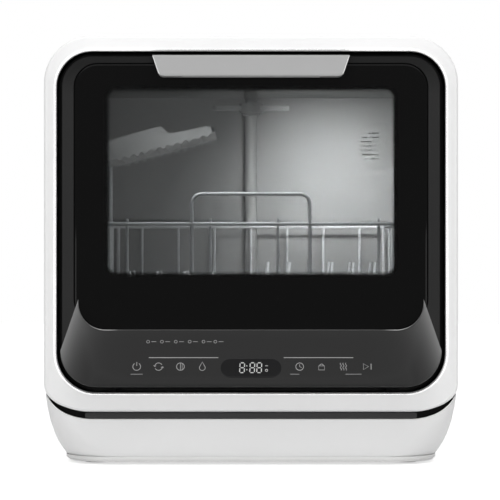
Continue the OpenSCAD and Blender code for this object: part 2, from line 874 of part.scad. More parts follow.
module cable_gland() {
    color(black) difference() {
        union() {
            rod_y(gland_x, y_back - 6, y_rear + 7, z_gland, 16);
            rod_y(gland_x, y_rear, y_rear + 3, z_gland, 24);
            rod_y(gland_x, y_back - 6, y_back, z_gland, 22);
        }
        rod_y(gland_x, y_back - 10, y_rear + 10, z_gland, 7);
    }
}

// ---- Hinge and latch ----

// The arm's side view: an eye round the pin, a bar back to the opening and a foot in the frame
module arm_profile() {
    translate([hinge_y, hinge_z]) circle(arm_eye_r);
    translate([hinge_y, hinge_z - 5.5]) square([30, 10.5]);
    translate([hinge_y + 12, z_open0 - 8]) square([18, hinge_z - z_open0 + 4]);
}

module hinge_arms() {
    color(steel) difference() {
        for (s = [-1, 1]) translate([s * hinge_x - arm_t / 2, 0, 0])
            rotate([90, 0, 90]) linear_extrude(arm_t) arm_profile();
        rod_x(-body_w, body_w, hinge_y, hinge_z, pin_d);
    }
}

module hinge_pins() {
    color(steel) for (s = [-1, 1])
        rod_x(s * hinge_x - 11, s * hinge_x + 11, hinge_y, hinge_z, pin_d);
}

module latch_hook() {
    y1 = y_frame + 12;
    color(dark) translate([-hook_w + 2, 0, 0]) {
        translate([0, y_plate, z_hook]) cube([2 * hook_w - 4, y1 - y_plate, 4]);
        translate([0, y1 - 4, z_hook - 3]) cube([2 * hook_w - 4, 4, 3]);
    }
}

module latch_catch() {
    y0 = y_frame + sheet;
    color(dark) difference() {
        translate([-hook_w - 5, y0, z_hook - 10]) cube([2 * hook_w + 10, 20, 22]);
        translate([-hook_w, y0 - over, z_hook - 4]) cube([2 * hook_w, 15, 13]);
    }
}

// ---- Door ----

// Side view of the control panel: a slope that ends in a round nose of radius r
module chin_shape(r, y_top, y_back, z_top) {
    translate([nose_y, nose_z]) circle(r);
    polygon([[nose_y - (r - tuck) * cos(chin_tilt), nose_z + (r - tuck) * sin(chin_tilt)],
        [y_top, z_top], [y_back, z_top], [y_back, nose_z - r + tuck],
        [nose_y + tuck, nose_z - r + tuck], [nose_y + tuck, nose_z]]);
}

module chin_profile() {
    chin_shape(nose_r, y_face, y_pane + 2, z_chin);
}

// The slots that let the hinge arms pass, in the control panel and behind it
module arm_slots() {
    w = arm_t + 3;
    r = arm_eye_r + 0.8;
    for (s = [-1, 1]) translate([s * hinge_x - w / 2, 0, 0]) rotate([90, 0, 90]) linear_extrude(w) {
        translate([hinge_y, hinge_z]) circle(r);
        translate([hinge_y - r, z_door0 - over]) square([60, hinge_z - z_door0 + over]);
        translate([hinge_y, z_door0]) square([60, hinge_z + r - 1 - z_door0]);
    }
}

module control_panel() {
    color("#313132") difference() {
        intersection() {
            translate([-body_w / 2, 0, 0]) rotate([90, 0, 90]) linear_extrude(body_w) chin_profile();
            along_y(y_nose - over, y_plate) door_outline(0);
        }
        intersection() {
            translate([-body_w / 2, 0, 0]) rotate([90, 0, 90]) linear_extrude(body_w)
                chin_hollow();
            along_y(y_nose - over, y_plate) door_outline(chin_wall);
        }
        arm_slots();
        on_chin() translate([0, 0, -1]) linear_extrude(4) display_outline(0);
    }
}

// The space inside the control panel, open at its back
module chin_hollow() {
    y_top = y_face + chin_wall / cos(chin_tilt) - chin_wall * tan(chin_tilt);
    chin_shape(nose_r - chin_wall, y_top, y_pane + 4, z_chin - chin_wall);
}

// Outline of the display window on the slope
module display_outline(grow) {
    r = display_h / 2 + grow;
    translate([0, display_v]) {
        square([display_w - display_h, 2 * r], center = true);
        for (s = [-1, 1]) translate([s * (display_w - display_h) / 2, 0]) circle(r);
    }
}

module display_window() {
    color("#0b0b0c") on_chin() translate([0, 0, -1]) linear_extrude(0.8) display_outline(0);
}

module display_board() {
    w = display_w * 3.6;
    h = display_h * 1.2;
    color("#1f5a3a") on_chin() translate([-w / 2, display_v - h / 2, -chin_wall - 5])
        cube([w, h, 1.6]);
    color("#202020") on_chin() translate([-w / 9, display_v - h * 0.3, -chin_wall - 3.4])
        cube([w / 4.5, h * 0.6, 3]);
}

// Places its children at the touch keys, four on each side of the display
module key_places() {
    for (s = [-1, 1], i = [0:3])
        translate([s * (display_w / 2 + 18.5 + i * 22), display_v]) children();
}

module touch_symbols() {
    color("#c9c9c9") on_chin() linear_extrude(0.15) {
        key_places() difference() {
            circle(4.2);
            circle(3.4);
        }
        for (s = [-1, 1]) translate([s * (display_w / 2 + 37.5), display_v + 12])
            square([70, 0.6], center = true);
    }
}

module door_frame() {
    color(dark) difference() {
        union() {
            along_y(y_face, y_core) intersection() {
                door_outline(0);
                translate([-body_w / 2, z_chin]) square([body_w, body_h]);
            }
            along_y(y_pane + 2, y_core) intersection() {
                door_outline(0.5);
                translate([-body_w / 2, 0]) square([body_w, z_chin + over]);
            }
            for (s = [-1, 1], t = [-1, 1]) translate([s * hinge_x + t * 8, 0, 0])
                rotate([90, 0, 90]) linear_extrude(6, center = true) knuckle();
        }
        along_y(y_face - over, y_pane) panel(glass_w + 2 * facing, z_chin - facing,
            z_door1 - strip_top + facing, glass_r0 + facing, glass_r1 + facing);
        along_y(y_face, y_plate) patch(0, window_w + 8, z_win0 - 4, z_win1 + 4, window_r + 4);
        arm_slots();
        rod_x(-hinge_x - 11 - slack, hinge_x + 11 + slack, hinge_y, hinge_z, pin_d + 2 * fit);
    }
}

// Eye of the door's hinge, joined to the door frame's back
module knuckle() {
    r = min(7, hinge_z - z_door0 - chin_wall - 0.1);
    translate([hinge_y, hinge_z]) circle(r);
    translate([hinge_y, hinge_z - 4]) square([y_pane + 3 - hinge_y, 10]);
}

module door_glass() {
    color(black) along_y(y_glass, y_pane)
        panel(glass_w, z_chin, z_door1 - strip_top, glass_r0, glass_r1);
}

// Outline of the pull plate: a trapezoid with rounded lower corners
module handle_outline(inset) {
    half = handle_w / 2 - inset;
    taper = handle_h * 0.36;
    r = 5;
    z0 = z_door1 - handle_h - 1 + inset;
    polygon([[-half, z_door1 - 1], [-half + taper, z0 + r], [-half + taper + r, z0],
        [half - taper - r, z0], [half - taper, z0 + r], [half, z_door1 - 1]]);
    for (s = [-1, 1]) translate([s * (half - taper - r * 0.8), z0 + r]) circle(r);
}

module pull_handle() {
    plate = 2.5;
    y1 = y_face - finger_gap;
    color(grey) difference() {
        along_y(y1 - plate, y_face) handle_outline(0);
        along_y(y1, y_face + over) translate([0, 2.5]) handle_outline(2.5);
    }
}

module inner_panel() {
    color("#c4c6c9") difference() {
        union() {
            along_y(y_core, y_plate) door_outline(1);
            along_y(y_plate - over, y_plate + pan_out)
                panel(tub_w - 20, z_tub0 + 14, z_tub1 - 7, 22, 22);
        }
        along_y(y_core - over, y_plate + pan_out - skin)
            panel(tub_w - 20 - 2 * skin, z_tub0 + 14 + skin, z_tub1 - 7 - skin, 20, 20);
        along_y(y_plate, y_frame + 2 * pan_out) patch(0, window_w, z_win0, z_win1, window_r);
        along_y(y_core - over, y_frame + 2 * pan_out) patch(cup_x, cup_w, z_cup0, z_cup1, 4);
        arm_slots();
    }
}

module inner_glass() {
    y1 = y_plate + pan_out - skin;
    color("#20242666") along_y(y1 - inner_glass_t, y1)
        patch(0, window_w + 16, z_win0 - 4, z_win1 + 4, window_r + 4);
}

module detergent_cup() {
    y1 = y_plate + pan_out;
    color("#d5d6d8") difference() {
        along_y(y_core + 0.4, y1) patch(cup_x, cup_w, z_cup0, z_cup1, 4);
        along_y(y_core + 2, y1 + over) patch(cup_x, cup_w - 5, z_cup0 + 2.5, z_cup1 - 2.5, 3);
    }
}

module detergent_lid() {
    y1 = y_plate + pan_out + slack;
    color(grey) {
        along_y(y1, y1 + 2) patch(cup_x, cup_w, z_cup0 - 1, z_cup1 + 1, 4);
        along_y(y1 + 2, y1 + 4) patch(cup_x + 18, 5, z_cup0 + 8, z_cup1 - 8, 2);
    }
}

// ---- Basket ----

// Wire of six sides from one point to another
module wire(a, b, d) {
    v = b - a;
    translate(a) rotate([0, acos(v[2] / norm(v)), atan2(v[1], v[0])])
        cylinder(d = d, h = norm(v), $fn = 8);
}

// Closed rectangle of wire at height z
module wire_ring(z, d) {
    x = basket_x;
    for (s = [-1, 1]) wire([s * x, basket_y0 - d / 2, z], [s * x, basket_y1 + d / 2, z], d);
    for (y = [basket_y0, basket_y1]) wire([-x, y, z], [x, y, z], d);
}

// Wire in X and Z at depth y, and its twin in Y and Z at width x
module wire_xz(x0, z0, x1, z1, y, d) {
    wire([x0, y, z0], [x1, y, z1], d);
}

module wire_yz(y0, z0, y1, z1, x, d) {
    wire([x, y0, z0], [x, y1, z1], d);
}

module basket_floor() {
    color("#c9ccd0") {
        wire_ring(z_basket, wire_d);
        for (i = [-5:5]) translate([i * basket_x / 5.6, 0, 0])
            wire([0, basket_y0, z_basket], [0, basket_y1, z_basket], thin_d);
        for (i = [1:5])
            wire([-basket_x, basket_y0 + i * basket_d / 6, z_basket],
                [basket_x, basket_y0 + i * basket_d / 6, z_basket], thin_d);
    }
}

// Front and back of the basket, each of wires in one plane
module basket_ends() {
    z0 = z_basket + lap;
    z_loop = z_hoop + loop_h;
    front = [-0.81, -0.266, 0.177, 0.835] * basket_x;
    color("#c9ccd0") {
        for (y = [basket_y0, basket_y1]) {
            wire_xz(-basket_x - wire_d / 2, z_hoop, basket_x + wire_d / 2, z_hoop, y, wire_d);
            for (x = [-basket_x, basket_x]) wire_xz(x, z0, x, z_hoop, y, wire_d);
        }
        for (x = front) wire_xz(x, z0, x, z_hoop + 6, basket_y0, thin_d);
        for (x = [-loop_w / 2, loop_w / 2])
            wire_xz(x, z0, x, z_loop + wire_d / 2, basket_y0, wire_d);
        wire_xz(-loop_w / 2, z_loop, loop_w / 2, z_loop, basket_y0, wire_d);
        for (i = [-3:3]) wire_xz(i * basket_x / 3.75, z0, i * basket_x / 3.75, z_hoop, basket_y1, thin_d);
    }
}

// Left and right sides of the basket. The left one carries the rod that the shelf turns on.
module basket_sides() {
    z0 = z_basket + lap;
    color("#c9ccd0") {
        for (x = [-basket_x, basket_x]) {
            wire_yz(basket_y0 + lap, z_hoop, basket_y1 - lap, z_hoop, x, wire_d);
            for (i = [1:5]) wire_yz(basket_y0 + i * basket_d / 6, z0,
                basket_y0 + i * basket_d / 6, z_hoop, x, thin_d);
        }
        for (y = [shelf_y0 - 4, shelf_y0 + shelf_d + 4])
            wire_yz(y, z0, y, shelf_z, -basket_x, wire_d);
        rod_y(-basket_x, shelf_y0 - 6, shelf_y0 + shelf_d + 6, shelf_z, rod_d);
    }
}

// Rows of upright tines that hold the dishes apart
module basket_tines() {
    z0 = z_basket + thin_d / 2;
    tall = basket_h * 0.55;
    lean = 5;
    color("#c9ccd0") for (y = [basket_y0 + basket_d / 3, basket_y1 - basket_d / 3]) {
        for (i = [0:5]) translate([14 + i * tine_pitch, 0, 0])
            wire([0, y, z0], [lean, y, z0 + tall], thin_d);
        for (i = [0:3]) translate([-36 - i * low_pitch, 0, 0])
            wire([0, y, z0], [-lean, y, z0 + tall * 0.8], thin_d);
    }
}

module basket_glides() {
    out = basket_gap + wire_d / 2 - 3;
    color(grey) difference() {
        for (s = [-1, 1], y = [basket_y0 + 20, basket_y1 - 20])
            translate([s * (basket_x + out / 2 - 3) - (out + 6) / 2, y - 14, z_glide])
                cube([out + 6, 28, z_basket + 5 - z_glide]);
        wire_ring(z_basket, wire_d);
        for (s = [-1, 1]) translate([s * (basket_x - 6) - 6, basket_y0 - 10, z_basket - 8])
            cube([12, basket_y1 - basket_y0 + 20, 3]);
    }
}

// The shelf lies along +X from its pivot rod and is drawn level
module level_shelf() {
    tall = 20;
    low = 6;
    wall_l = shelf_l * 0.6;
    t = 2.5;
    difference() {
        union() {
            rod_y(0, 0, shelf_d, 0, rod_d + rim);
            translate([3, 0, -rim / 2 - t]) cube([shelf_l - 3, shelf_d, t]);
            for (y = [0, shelf_d - t]) {
                translate([0, y, -rim / 2 - t]) cube([wall_l, t, tall]);
                translate([wall_l - over, y, -rim / 2 - t]) cube([shelf_l - wall_l + over, t, low]);
            }
            translate([shelf_l - t, 0, -rim / 2 - t]) cube([t, shelf_d, low]);
        }
        rod_y(0, -over, shelf_d + over, 0, rod_d + 2 * fit);
        for (i = [0:3], j = [0:5])
            translate([16 + i * 25, 12 + j * (shelf_d - 24) / 6, -3 * rim])
                cube([16, (shelf_d - 24) / 6 - 6, 4 * rim]);
    }
}

module basket_shelf() {
    color(grey) translate([-basket_x, shelf_y0, shelf_z]) rotate([0, -shelf_tilt, 0]) level_shelf();
}

rubber_feet();
base_plate();
base_tray();
accent_strip();
casing_shell();
front_frame();
back_panel();
casing_screws();
tub();
tub_gasket();
basket_rails();
sump();
coarse_filter();
filter_cup();
spray_post();
lower_spray_arm();
arm_retainer();
upper_spray_arm();
riser_pipe();
riser_hose();
heater();
wash_pump();
wash_impeller();
wash_motor();
drain_pump();
drain_impeller();
drain_hose();
drain_spigot();
inlet_valve();
inlet_connector();
water_tank();
tank_hose();
fill_neck();
fill_cap();
fan_housing();
fan_impeller();
vent_grille();
power_box();
cable_gland();
hinge_arms();
hinge_pins();
latch_catch();
door_frame();
door_glass();
control_panel();
display_board();
display_window();
touch_symbols();
pull_handle();
inner_panel();
inner_glass();
latch_hook();
detergent_cup();
detergent_lid();
basket_floor();
basket_ends();
basket_sides();
basket_tines();
basket_glides();
basket_shelf();
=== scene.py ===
# %% [markdown]
# # A countertop dishwasher, dressed over its CAD frame
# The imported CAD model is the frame: every size and every joint comes from it. This lesson dresses
# that frame the way the real machine looks, piece by piece. Blender works in metres, but the
# pieces are drawn in millimetres here, because that is how such a machine is measured.

# %% Load the frame
import math
import bpy
import bmesh
import numpy as np
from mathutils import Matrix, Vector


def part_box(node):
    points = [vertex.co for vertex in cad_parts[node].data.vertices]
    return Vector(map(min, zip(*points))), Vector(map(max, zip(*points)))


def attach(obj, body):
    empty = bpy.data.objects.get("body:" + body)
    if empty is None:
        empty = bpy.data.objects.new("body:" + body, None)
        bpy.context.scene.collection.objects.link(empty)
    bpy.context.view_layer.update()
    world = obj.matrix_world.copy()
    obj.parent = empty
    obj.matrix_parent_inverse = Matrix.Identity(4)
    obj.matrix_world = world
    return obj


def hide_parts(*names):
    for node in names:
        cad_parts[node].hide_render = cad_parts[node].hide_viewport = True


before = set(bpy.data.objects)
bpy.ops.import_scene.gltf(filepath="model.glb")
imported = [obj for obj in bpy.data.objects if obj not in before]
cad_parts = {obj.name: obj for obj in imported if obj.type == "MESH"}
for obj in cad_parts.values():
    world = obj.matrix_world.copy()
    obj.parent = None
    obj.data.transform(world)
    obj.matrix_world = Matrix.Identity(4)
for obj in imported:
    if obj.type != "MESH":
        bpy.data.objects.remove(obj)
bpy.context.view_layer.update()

# %% [markdown]
# Sizes are read off the CAD nodes' boxes, so that a dressed piece always covers its solid. Only
# the radii and small gaps, which a box can't tell, are repeated from the source.

# %% Sizes of the casing and the door, in millimetres
def box_mm(node):
    low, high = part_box(node)
    return [v * 1000 for v in low], [v * 1000 for v in high]


FRAME_LOW, FRAME_HIGH = box_mm("front_frame")
DOOR_HIGH = box_mm("door_frame")[1]
GLASS_LOW, GLASS_HIGH = box_mm("door_glass")
BODY_W = FRAME_HIGH[0] - FRAME_LOW[0]
Z_CASE, Z_TOP = FRAME_LOW[2], FRAME_HIGH[2]
Y_FRONT, Y_FRAME = FRAME_LOW[1], FRAME_HIGH[1]
Y_BACK, Y_REAR = box_mm("back_panel")[0][1], box_mm("back_panel")[1][1]
CORNER, CORNER_LOW = 48, 32
Z_OPEN0, Z_OPEN1 = Z_CASE + 20.6, Z_TOP - 16
OPEN_W = BODY_W - 26.5
OPEN_R0, OPEN_R1 = 40, 36
Y_FACE = Y_FRONT + 3
DOOR_W = OPEN_W - 6
Z_DOOR0, Z_DOOR1 = Z_OPEN0 + 3.5, Z_OPEN1 - 2.5
DOOR_R0, DOOR_R1 = 44, 33
GLASS_W, Z_CHIN, Z_GLASS1 = GLASS_HIGH[0] * 2, GLASS_LOW[2], GLASS_HIGH[2]
GLASS_R0, GLASS_R1 = 32, 24
WINDOW_W, Z_WIN0, Z_WIN1 = 294, Z_CHIN + 55.5, Z_GLASS1 - 24.5
print("casing", round(BODY_W), "wide; window", WINDOW_W, "by", round(Z_WIN1 - Z_WIN0))

# %% [markdown]
# ## Helpers for meshes
# Moulded parts are mostly lofts: rings of points that all have the same number of corners, joined
# by quads. One function draws a rounded rectangle as such a ring, another one joins rings into a
# mesh. A ring of rings closes on itself like a picture frame.

# %% Rings and lofts
def rounded(w, z0, z1, r0, r1, inset=0.0, arc=10, tall=None):
    """Points round a rounded rectangle in X and Z; tall makes the lower corners elliptical."""
    half, low, high = w / 2 - inset, z0 + inset, z1 - inset
    r0, r1, tall = (max(r - inset, 0.05) for r in (r0, r1, tall or r0))
    corners = [(-half + r0, low + tall, r0, tall, 180), (half - r0, low + tall, r0, tall, 270),
               (half - r1, high - r1, r1, r1, 0), (-half + r1, high - r1, r1, r1, 90)]
    out = []
    for cx, cz, rx, rz, start in corners:
        angles = [math.radians(start + 90 * i / arc) for i in range(arc + 1)]
        out += [(cx + rx * math.cos(a), cz + rz * math.sin(a)) for a in angles]
    return out


def at_depth(outline, y):
    """The outline's points at depth y."""
    return [(x, y, z) for x, z in outline]


def stack(outline, *steps):
    """Rings of one outline; each step is an inset and a depth."""
    return [at_depth(outline(inset), y) for inset, y in steps]


def loft(rings, closed=False, caps=True):
    """Vertices and faces of rings joined by quads; closed also joins the last ring to the first."""
    n = len(rings[0])
    points = [p for ring in rings for p in ring]
    faces = []
    for i in range(len(rings) if closed else len(rings) - 1):
        a, b = i * n, (i + 1) % len(rings) * n
        for j in range(n):
            k = (j + 1) % n
            faces.append((a + j, b + j, b + k, a + k))
    if caps and not closed:
        faces += [tuple(range(n)), tuple(range(len(points) - 1, len(points) - n - 1, -1))]
    return points, faces


def piece(name, points, faces, materials=(), smooth=40, merge=0.001, outward=True, marks=None):
    """A mesh object from points in millimetres; marks give each face the number of its material."""
    mesh = bpy.data.meshes.new(name)
    mesh.from_pydata([(x / 1000, y / 1000, z / 1000) for x, y, z in points], [], faces)
    for material in materials if isinstance(materials, tuple) else (materials,):
        mesh.materials.append(material)
    if marks:
        mesh.polygons.foreach_set("material_index", marks)
    bm = bmesh.new()
    bm.from_mesh(mesh)
    bmesh.ops.remove_doubles(bm, verts=bm.verts, dist=merge / 1000)
    bmesh.ops.dissolve_degenerate(bm, edges=bm.edges, dist=merge / 1000)
    if outward:
        bmesh.ops.recalc_face_normals(bm, faces=bm.faces)
        # A hollow curved shell can come out of that inside out; its signed volume tells.
        if all(edge.is_manifold for edge in bm.edges) and bm.calc_volume(signed=True) < 0:
            bmesh.ops.reverse_faces(bm, faces=bm.faces)
    bm.to_mesh(mesh)
    bm.free()
    obj = bpy.data.objects.new(name, mesh)
    bpy.context.collection.objects.link(obj)
    if smooth:
        mesh.shade_smooth()
        mesh.set_sharp_from_angle(angle=math.radians(smooth))
    return obj


def dress(obj, body, slot_name, *nodes):
    """Makes a finished piece ride on its body and stand for the CAD nodes that it covers."""
    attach(obj, body)
    if nodes:
        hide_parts(*nodes)
    print(obj.name, len(obj.data.polygons), "faces")
    return obj


# %% [markdown]
# ## Helpers for materials
# Colours are written as on a screen and turned to linear light by one function. One more function
# adds a node with its settings and links. Noise textures read Object coordinates, which are
# metres, so a scale of 1000 divided by a size in millimetres gives grains of that size.

# %% Colours, nodes and a base for every material
def srgb(code):
    values = [int(code[i:i + 2], 16) / 255 for i in (0, 2, 4)]
    return [v / 12.92 if v <= 0.04045 else ((v + 0.055) / 1.055) ** 2.4 for v in values] + [1.0]


def add(tree, kind, inputs=None, **settings):
    """Adds a node; inputs maps a socket's name or number to a value or to another socket."""
    node = tree.nodes.new(kind)
    for key, value in settings.items():
        setattr(node, key, value)
    for key, value in (inputs or {}).items():
        if isinstance(value, bpy.types.NodeSocket):
            tree.links.new(value, node.inputs[key])
        else:
            node.inputs[key].default_value = value
    return node


def new_material(name):
    material = bpy.data.materials.new(name)
    material.use_nodes = True
    tree = material.node_tree
    tree.nodes.clear()
    out = add(tree, "ShaderNodeOutputMaterial")
    coords = add(tree, "ShaderNodeTexCoord").outputs["Object"]
    return material, tree, out, coords


def moulded(name, shade, deep, rough, grain=0.35, depth=0.02, metallic=0.0, stretch=(1, 1, 1),
            level=0.5, spread=0.06):
    """A surface with a fine grain: two close shades, an uneven gloss and a shallow relief."""
    material, tree, out, coords = new_material(name)
    placed = add(tree, "ShaderNodeMapping", {"Vector": coords, "Scale": stretch}).outputs[0]
    fine = add(tree, "ShaderNodeTexNoise", {"Vector": placed, "Scale": 1000 / grain, "Detail": 2.0})
    broad = add(tree, "ShaderNodeTexNoise", {"Vector": coords, "Scale": 1000 / 60, "Detail": 3.0})
    tint = add(tree, "ShaderNodeMix", {0: broad.outputs[0], 6: srgb(shade), 7: srgb(deep)},
               data_type="RGBA")
    gloss = add(tree, "ShaderNodeMapRange", {0: fine.outputs[0], 1: 0.3, 2: 0.7,
                                             3: rough - spread, 4: rough + spread})
    relief = add(tree, "ShaderNodeBump", {"Strength": 0.5, "Distance": depth / 1000,
                                          "Height": fine.outputs[0]})
    shader = add(tree, "ShaderNodeBsdfPrincipled",
                 {"Base Color": tint.outputs[2], "Roughness": gloss.outputs[0],
                  "Normal": relief.outputs[0], "Metallic": metallic, "Specular IOR Level": level})
    tree.links.new(shader.outputs[0], out.inputs[0])
    return material


# %% [markdown]
# ## White mouldings
# The casing is satin ABS from a fine-eroded tool, so its gloss is broken by a grain of a few
# tenths of a millimetre. The base is the same plastic with a duller finish. The back panel is
# powder-coated steel, whose orange peel is about 2 mm from wave to wave.

# %% White materials
WHITE = moulded("satin_abs_white", "F3F3F3", "EFEFEF", 0.34, grain=0.4, depth=0.006, level=0.25)
BASE_WHITE = moulded("matt_abs_white", "ECECEC", "E8E8E8", 0.46, grain=0.5, depth=0.012, level=0.3)
POWDER = moulded("powder_coated_steel", "DDDDDA", "D6D6D3", 0.42, grain=2.0, depth=0.03)
# The opening's inner round gets a whiter, metal-like copy of the white ABS: a painted highlight, helped by
# its real mirroring of the bright studio.
WHITE_EDGE = moulded("polished_abs_parting_edge", "FFFFFF", "FDFDFD", 0.25, grain=0.4, depth=0.003,
                     metallic=0.55)
# Near-black nylon with almost no gloss: the colour of the small black parts, and also painted shade on the
# faces inside the gaps round the door and between casing and base.
BLACK_NYLON = moulded("black_nylon", "080808", "060606", 0.5, grain=0.5, depth=0.02, level=0.03)
STRIP_DARK = moulded("matt_abs_dark_strip", "353535", "313131", 0.5, grain=0.5, depth=0.01, level=0.15)

# %% [markdown]
# ## The front frame
# The white frame round the door is one moulding with a soft outer corner and a smaller round
# where it turns into the door opening. Its section is drawn as a row of outlines, each a little
# further in, and the loft joins the last outline to the first.

# %% Front frame
FOOT_ROUND, RIM_ROUND = (50, 28), (48, 37)


def case_outline(inset):
    return rounded(BODY_W, Z_CASE, Z_TOP, FOOT_ROUND[0], CORNER, inset, arc=20, tall=FOOT_ROUND[1])


def rear_outline(inset):
    return rounded(BODY_W, Z_CASE, Z_TOP, CORNER_LOW, CORNER, inset, arc=20)


def climb(x, half, size):
    """How far an elliptical corner of the given size has risen at x."""
    share = min(max(abs(x) - (half - size[0]), 0) / size[0], 1)
    return size[1] * (1 - math.sqrt(1 - share ** 2))


def opening_outline(grow):
    return rounded(OPEN_W, Z_OPEN0, Z_OPEN1, OPEN_R0, OPEN_R1, -grow, arc=20)


def quarter(radius, steps):
    """Rounds from a side wall to a front face: (inset, distance in front of the wall's end)."""
    return [(radius * (1 - math.cos(t)), radius * math.sin(t))
            for t in (math.pi / 2 * i / steps for i in range(steps + 1))]


def between(a, b, share):
    """The ring at a share of the way from ring a to ring b."""
    return [tuple(u + (v - u) * share for u, v in zip(p, q)) for p, q in zip(a, b)]


OUTER_ROUND, INNER_ROUND, FACE_SLOPE = 3.4, 2.6, 2.6
rings = stack(case_outline, (0, Y_FRAME - 0.4),
              *[(i, Y_FRONT + FACE_SLOPE + OUTER_ROUND - d) for i, d in quarter(OUTER_ROUND, 7)])
inner = stack(opening_outline, *[(INNER_ROUND * (1 - math.sin(t)), Y_FRONT + INNER_ROUND * (1 - math.cos(t)))
                                 for t in (math.pi / 2 * i / 6 for i in range(7))])
rings += [between(rings[-1], inner[0], share) for share in (0.1, 0.9)] + inner
rings.append(at_depth(opening_outline(0), Y_FRAME - 0.4))
# Bands by ring: white ABS on the face, the painted highlight on the inner round, near-black painted shade on
# the opening's inner wall where the gap round the door lies, white on the back.
bands = [0] * 11 + [1] * 6 + [2, 0]
front_frame = piece("front_frame_moulding", *loft(rings, closed=True), (WHITE, WHITE_EDGE, BLACK_NYLON),
                    smooth=50, marks=[band for band in bands for _ in rings[0]])
dress(front_frame, "cabinet", "casing_white", "front_frame")

# %% [markdown]
# ## The casing wrap
# Behind the front frame a single wrap goes over the top, down both sides and under the tub. It
# starts with a hair-fine joint, and its back edge is rounded where the back panel closes it. The
# louvres on both sides repeat, so a small Geometry Nodes tree makes a row of cutters for them.

# %% A Geometry Nodes tree that repeats a rounded bar along a line
def row_tree():
    tree = bpy.data.node_groups.new("row_of_bars", "GeometryNodeTree")
    for name, kind in (("Count", "Int"), ("Start", "Vector"), ("Step", "Vector"), ("Bar", "Vector"),
                       ("Width", "Float"), ("Height", "Float"), ("Round", "Float"),
                       ("Round Steps", "Int"), ("Material", "Material")):
        tree.interface.new_socket(name, in_out="INPUT", socket_type="NodeSocket" + kind)
    tree.interface.new_socket("Geometry", in_out="OUTPUT", socket_type="NodeSocketGeometry")
    given = add(tree, "NodeGroupInput").outputs
    line = add(tree, "GeometryNodeMeshLine", {"Count": given["Count"],
                                              "Start Location": given["Start"],
                                              "Offset": given["Step"]}, mode="OFFSET")
    spine = add(tree, "GeometryNodeCurvePrimitiveLine", {"End": given["Bar"]})
    sheet = add(tree, "GeometryNodeCurvePrimitiveQuadrilateral",
                {"Width": given["Width"], "Height": given["Height"]})
    round_off = add(tree, "GeometryNodeFilletCurve", mode="POLY")
    for key, socket in (("Curve", sheet.outputs[0]), ("Count", given["Round Steps"]),
                        ("Radius", given["Round"])):
        tree.links.new(socket, round_off.inputs[key])
    bar = add(tree, "GeometryNodeCurveToMesh", {"Curve": spine.outputs[0], "Fill Caps": True,
                                                "Profile Curve": round_off.outputs[0]})
    placed = add(tree, "GeometryNodeInstanceOnPoints", {"Points": line.outputs[0],
                                                        "Instance": bar.outputs[0]})
    real = add(tree, "GeometryNodeRealizeInstances", {0: placed.outputs[0]})
    made = add(tree, "GeometryNodeSetMaterial", {"Geometry": real.outputs[0],
                                                 "Material": given["Material"]})
    add(tree, "NodeGroupOutput", {0: made.outputs[0]})
    return tree


ROW = row_tree()


def bake(obj):
    """The evaluated object as a plain mesh, with its modifiers removed."""
    done = bpy.data.meshes.new_from_object(obj.evaluated_get(bpy.context.evaluated_depsgraph_get()))
    obj.modifiers.clear()
    obj.data = done
    return obj


def row(name, count, start, step, bar, size, steps=3):
    """A row of bars, sizes in millimetres: size is a diameter, or the bar's (width, height)."""
    wide, high = size if isinstance(size, tuple) else (size, size)
    obj = piece(name, [], [], smooth=0, outward=False)
    modifier = obj.modifiers.new("row", "NODES")
    modifier.node_group = ROW
    given = {"Count": count, "Start": [v / 1000 for v in start], "Step": [v / 1000 for v in step],
             "Bar": [v / 1000 for v in bar], "Width": wide / 1000, "Height": high / 1000,
             "Round": min(wide, high) * 0.499 / 1000, "Round Steps": steps, "Material": None}
    for item in ROW.interface.items_tree:
        if item.in_out == "INPUT":
            modifier[item.identifier] = given[item.name]
    bake(obj)
    tidy_mesh(obj, 50)
    return obj


def tidy_mesh(obj, smooth=40):
    """Merges doubles, turns all faces outwards and shades the mesh."""
    bm = bmesh.new()
    bm.from_mesh(obj.data)
    bmesh.ops.remove_doubles(bm, verts=bm.verts, dist=1e-6)
    bmesh.ops.recalc_face_normals(bm, faces=bm.faces)
    bm.to_mesh(obj.data)
    bm.free()
    obj.data.shade_smooth()
    obj.data.set_sharp_from_angle(angle=math.radians(smooth))


def join(name, objects, material):
    """One mesh object out of several, which are deleted."""
    bm = bmesh.new()
    for obj in objects:
        bm.from_mesh(obj.data)
    mesh = bpy.data.meshes.new(name)
    bm.to_mesh(mesh)
    bm.free()
    for obj in objects:
        bpy.data.objects.remove(obj)
    if material:
        mesh.materials.append(material)
    joined = bpy.data.objects.new(name, mesh)
    bpy.context.collection.objects.link(joined)
    mesh.shade_smooth()
    mesh.set_sharp_from_angle(angle=math.radians(40))
    return joined


# %% Casing wrap with its louvres
WALL = 2.5
rings = stack(case_outline, *[(i, Y_FRAME + 0.4 + 0.8 - d) for i, d in reversed(quarter(0.8, 3))])
rings += stack(rear_outline, (0, Y_BACK - 0.2), (WALL, Y_BACK - 0.2))
rings += stack(case_outline, (WALL, Y_FRAME + 0.4))
casing = piece("casing_wrap", *loft(rings, closed=True), WHITE, smooth=50)


def cut(obj, cutter):
    """Takes the cutter out of the piece and deletes the cutter."""
    modifier = obj.modifiers.new("cut", "BOOLEAN")
    modifier.operation, modifier.solver, modifier.object = "DIFFERENCE", "EXACT", cutter
    materials = list(obj.data.materials)
    bake(obj)
    obj.data.materials.clear()
    for m in materials:
        obj.data.materials.append(m)
    bpy.data.objects.remove(cutter)
    return obj


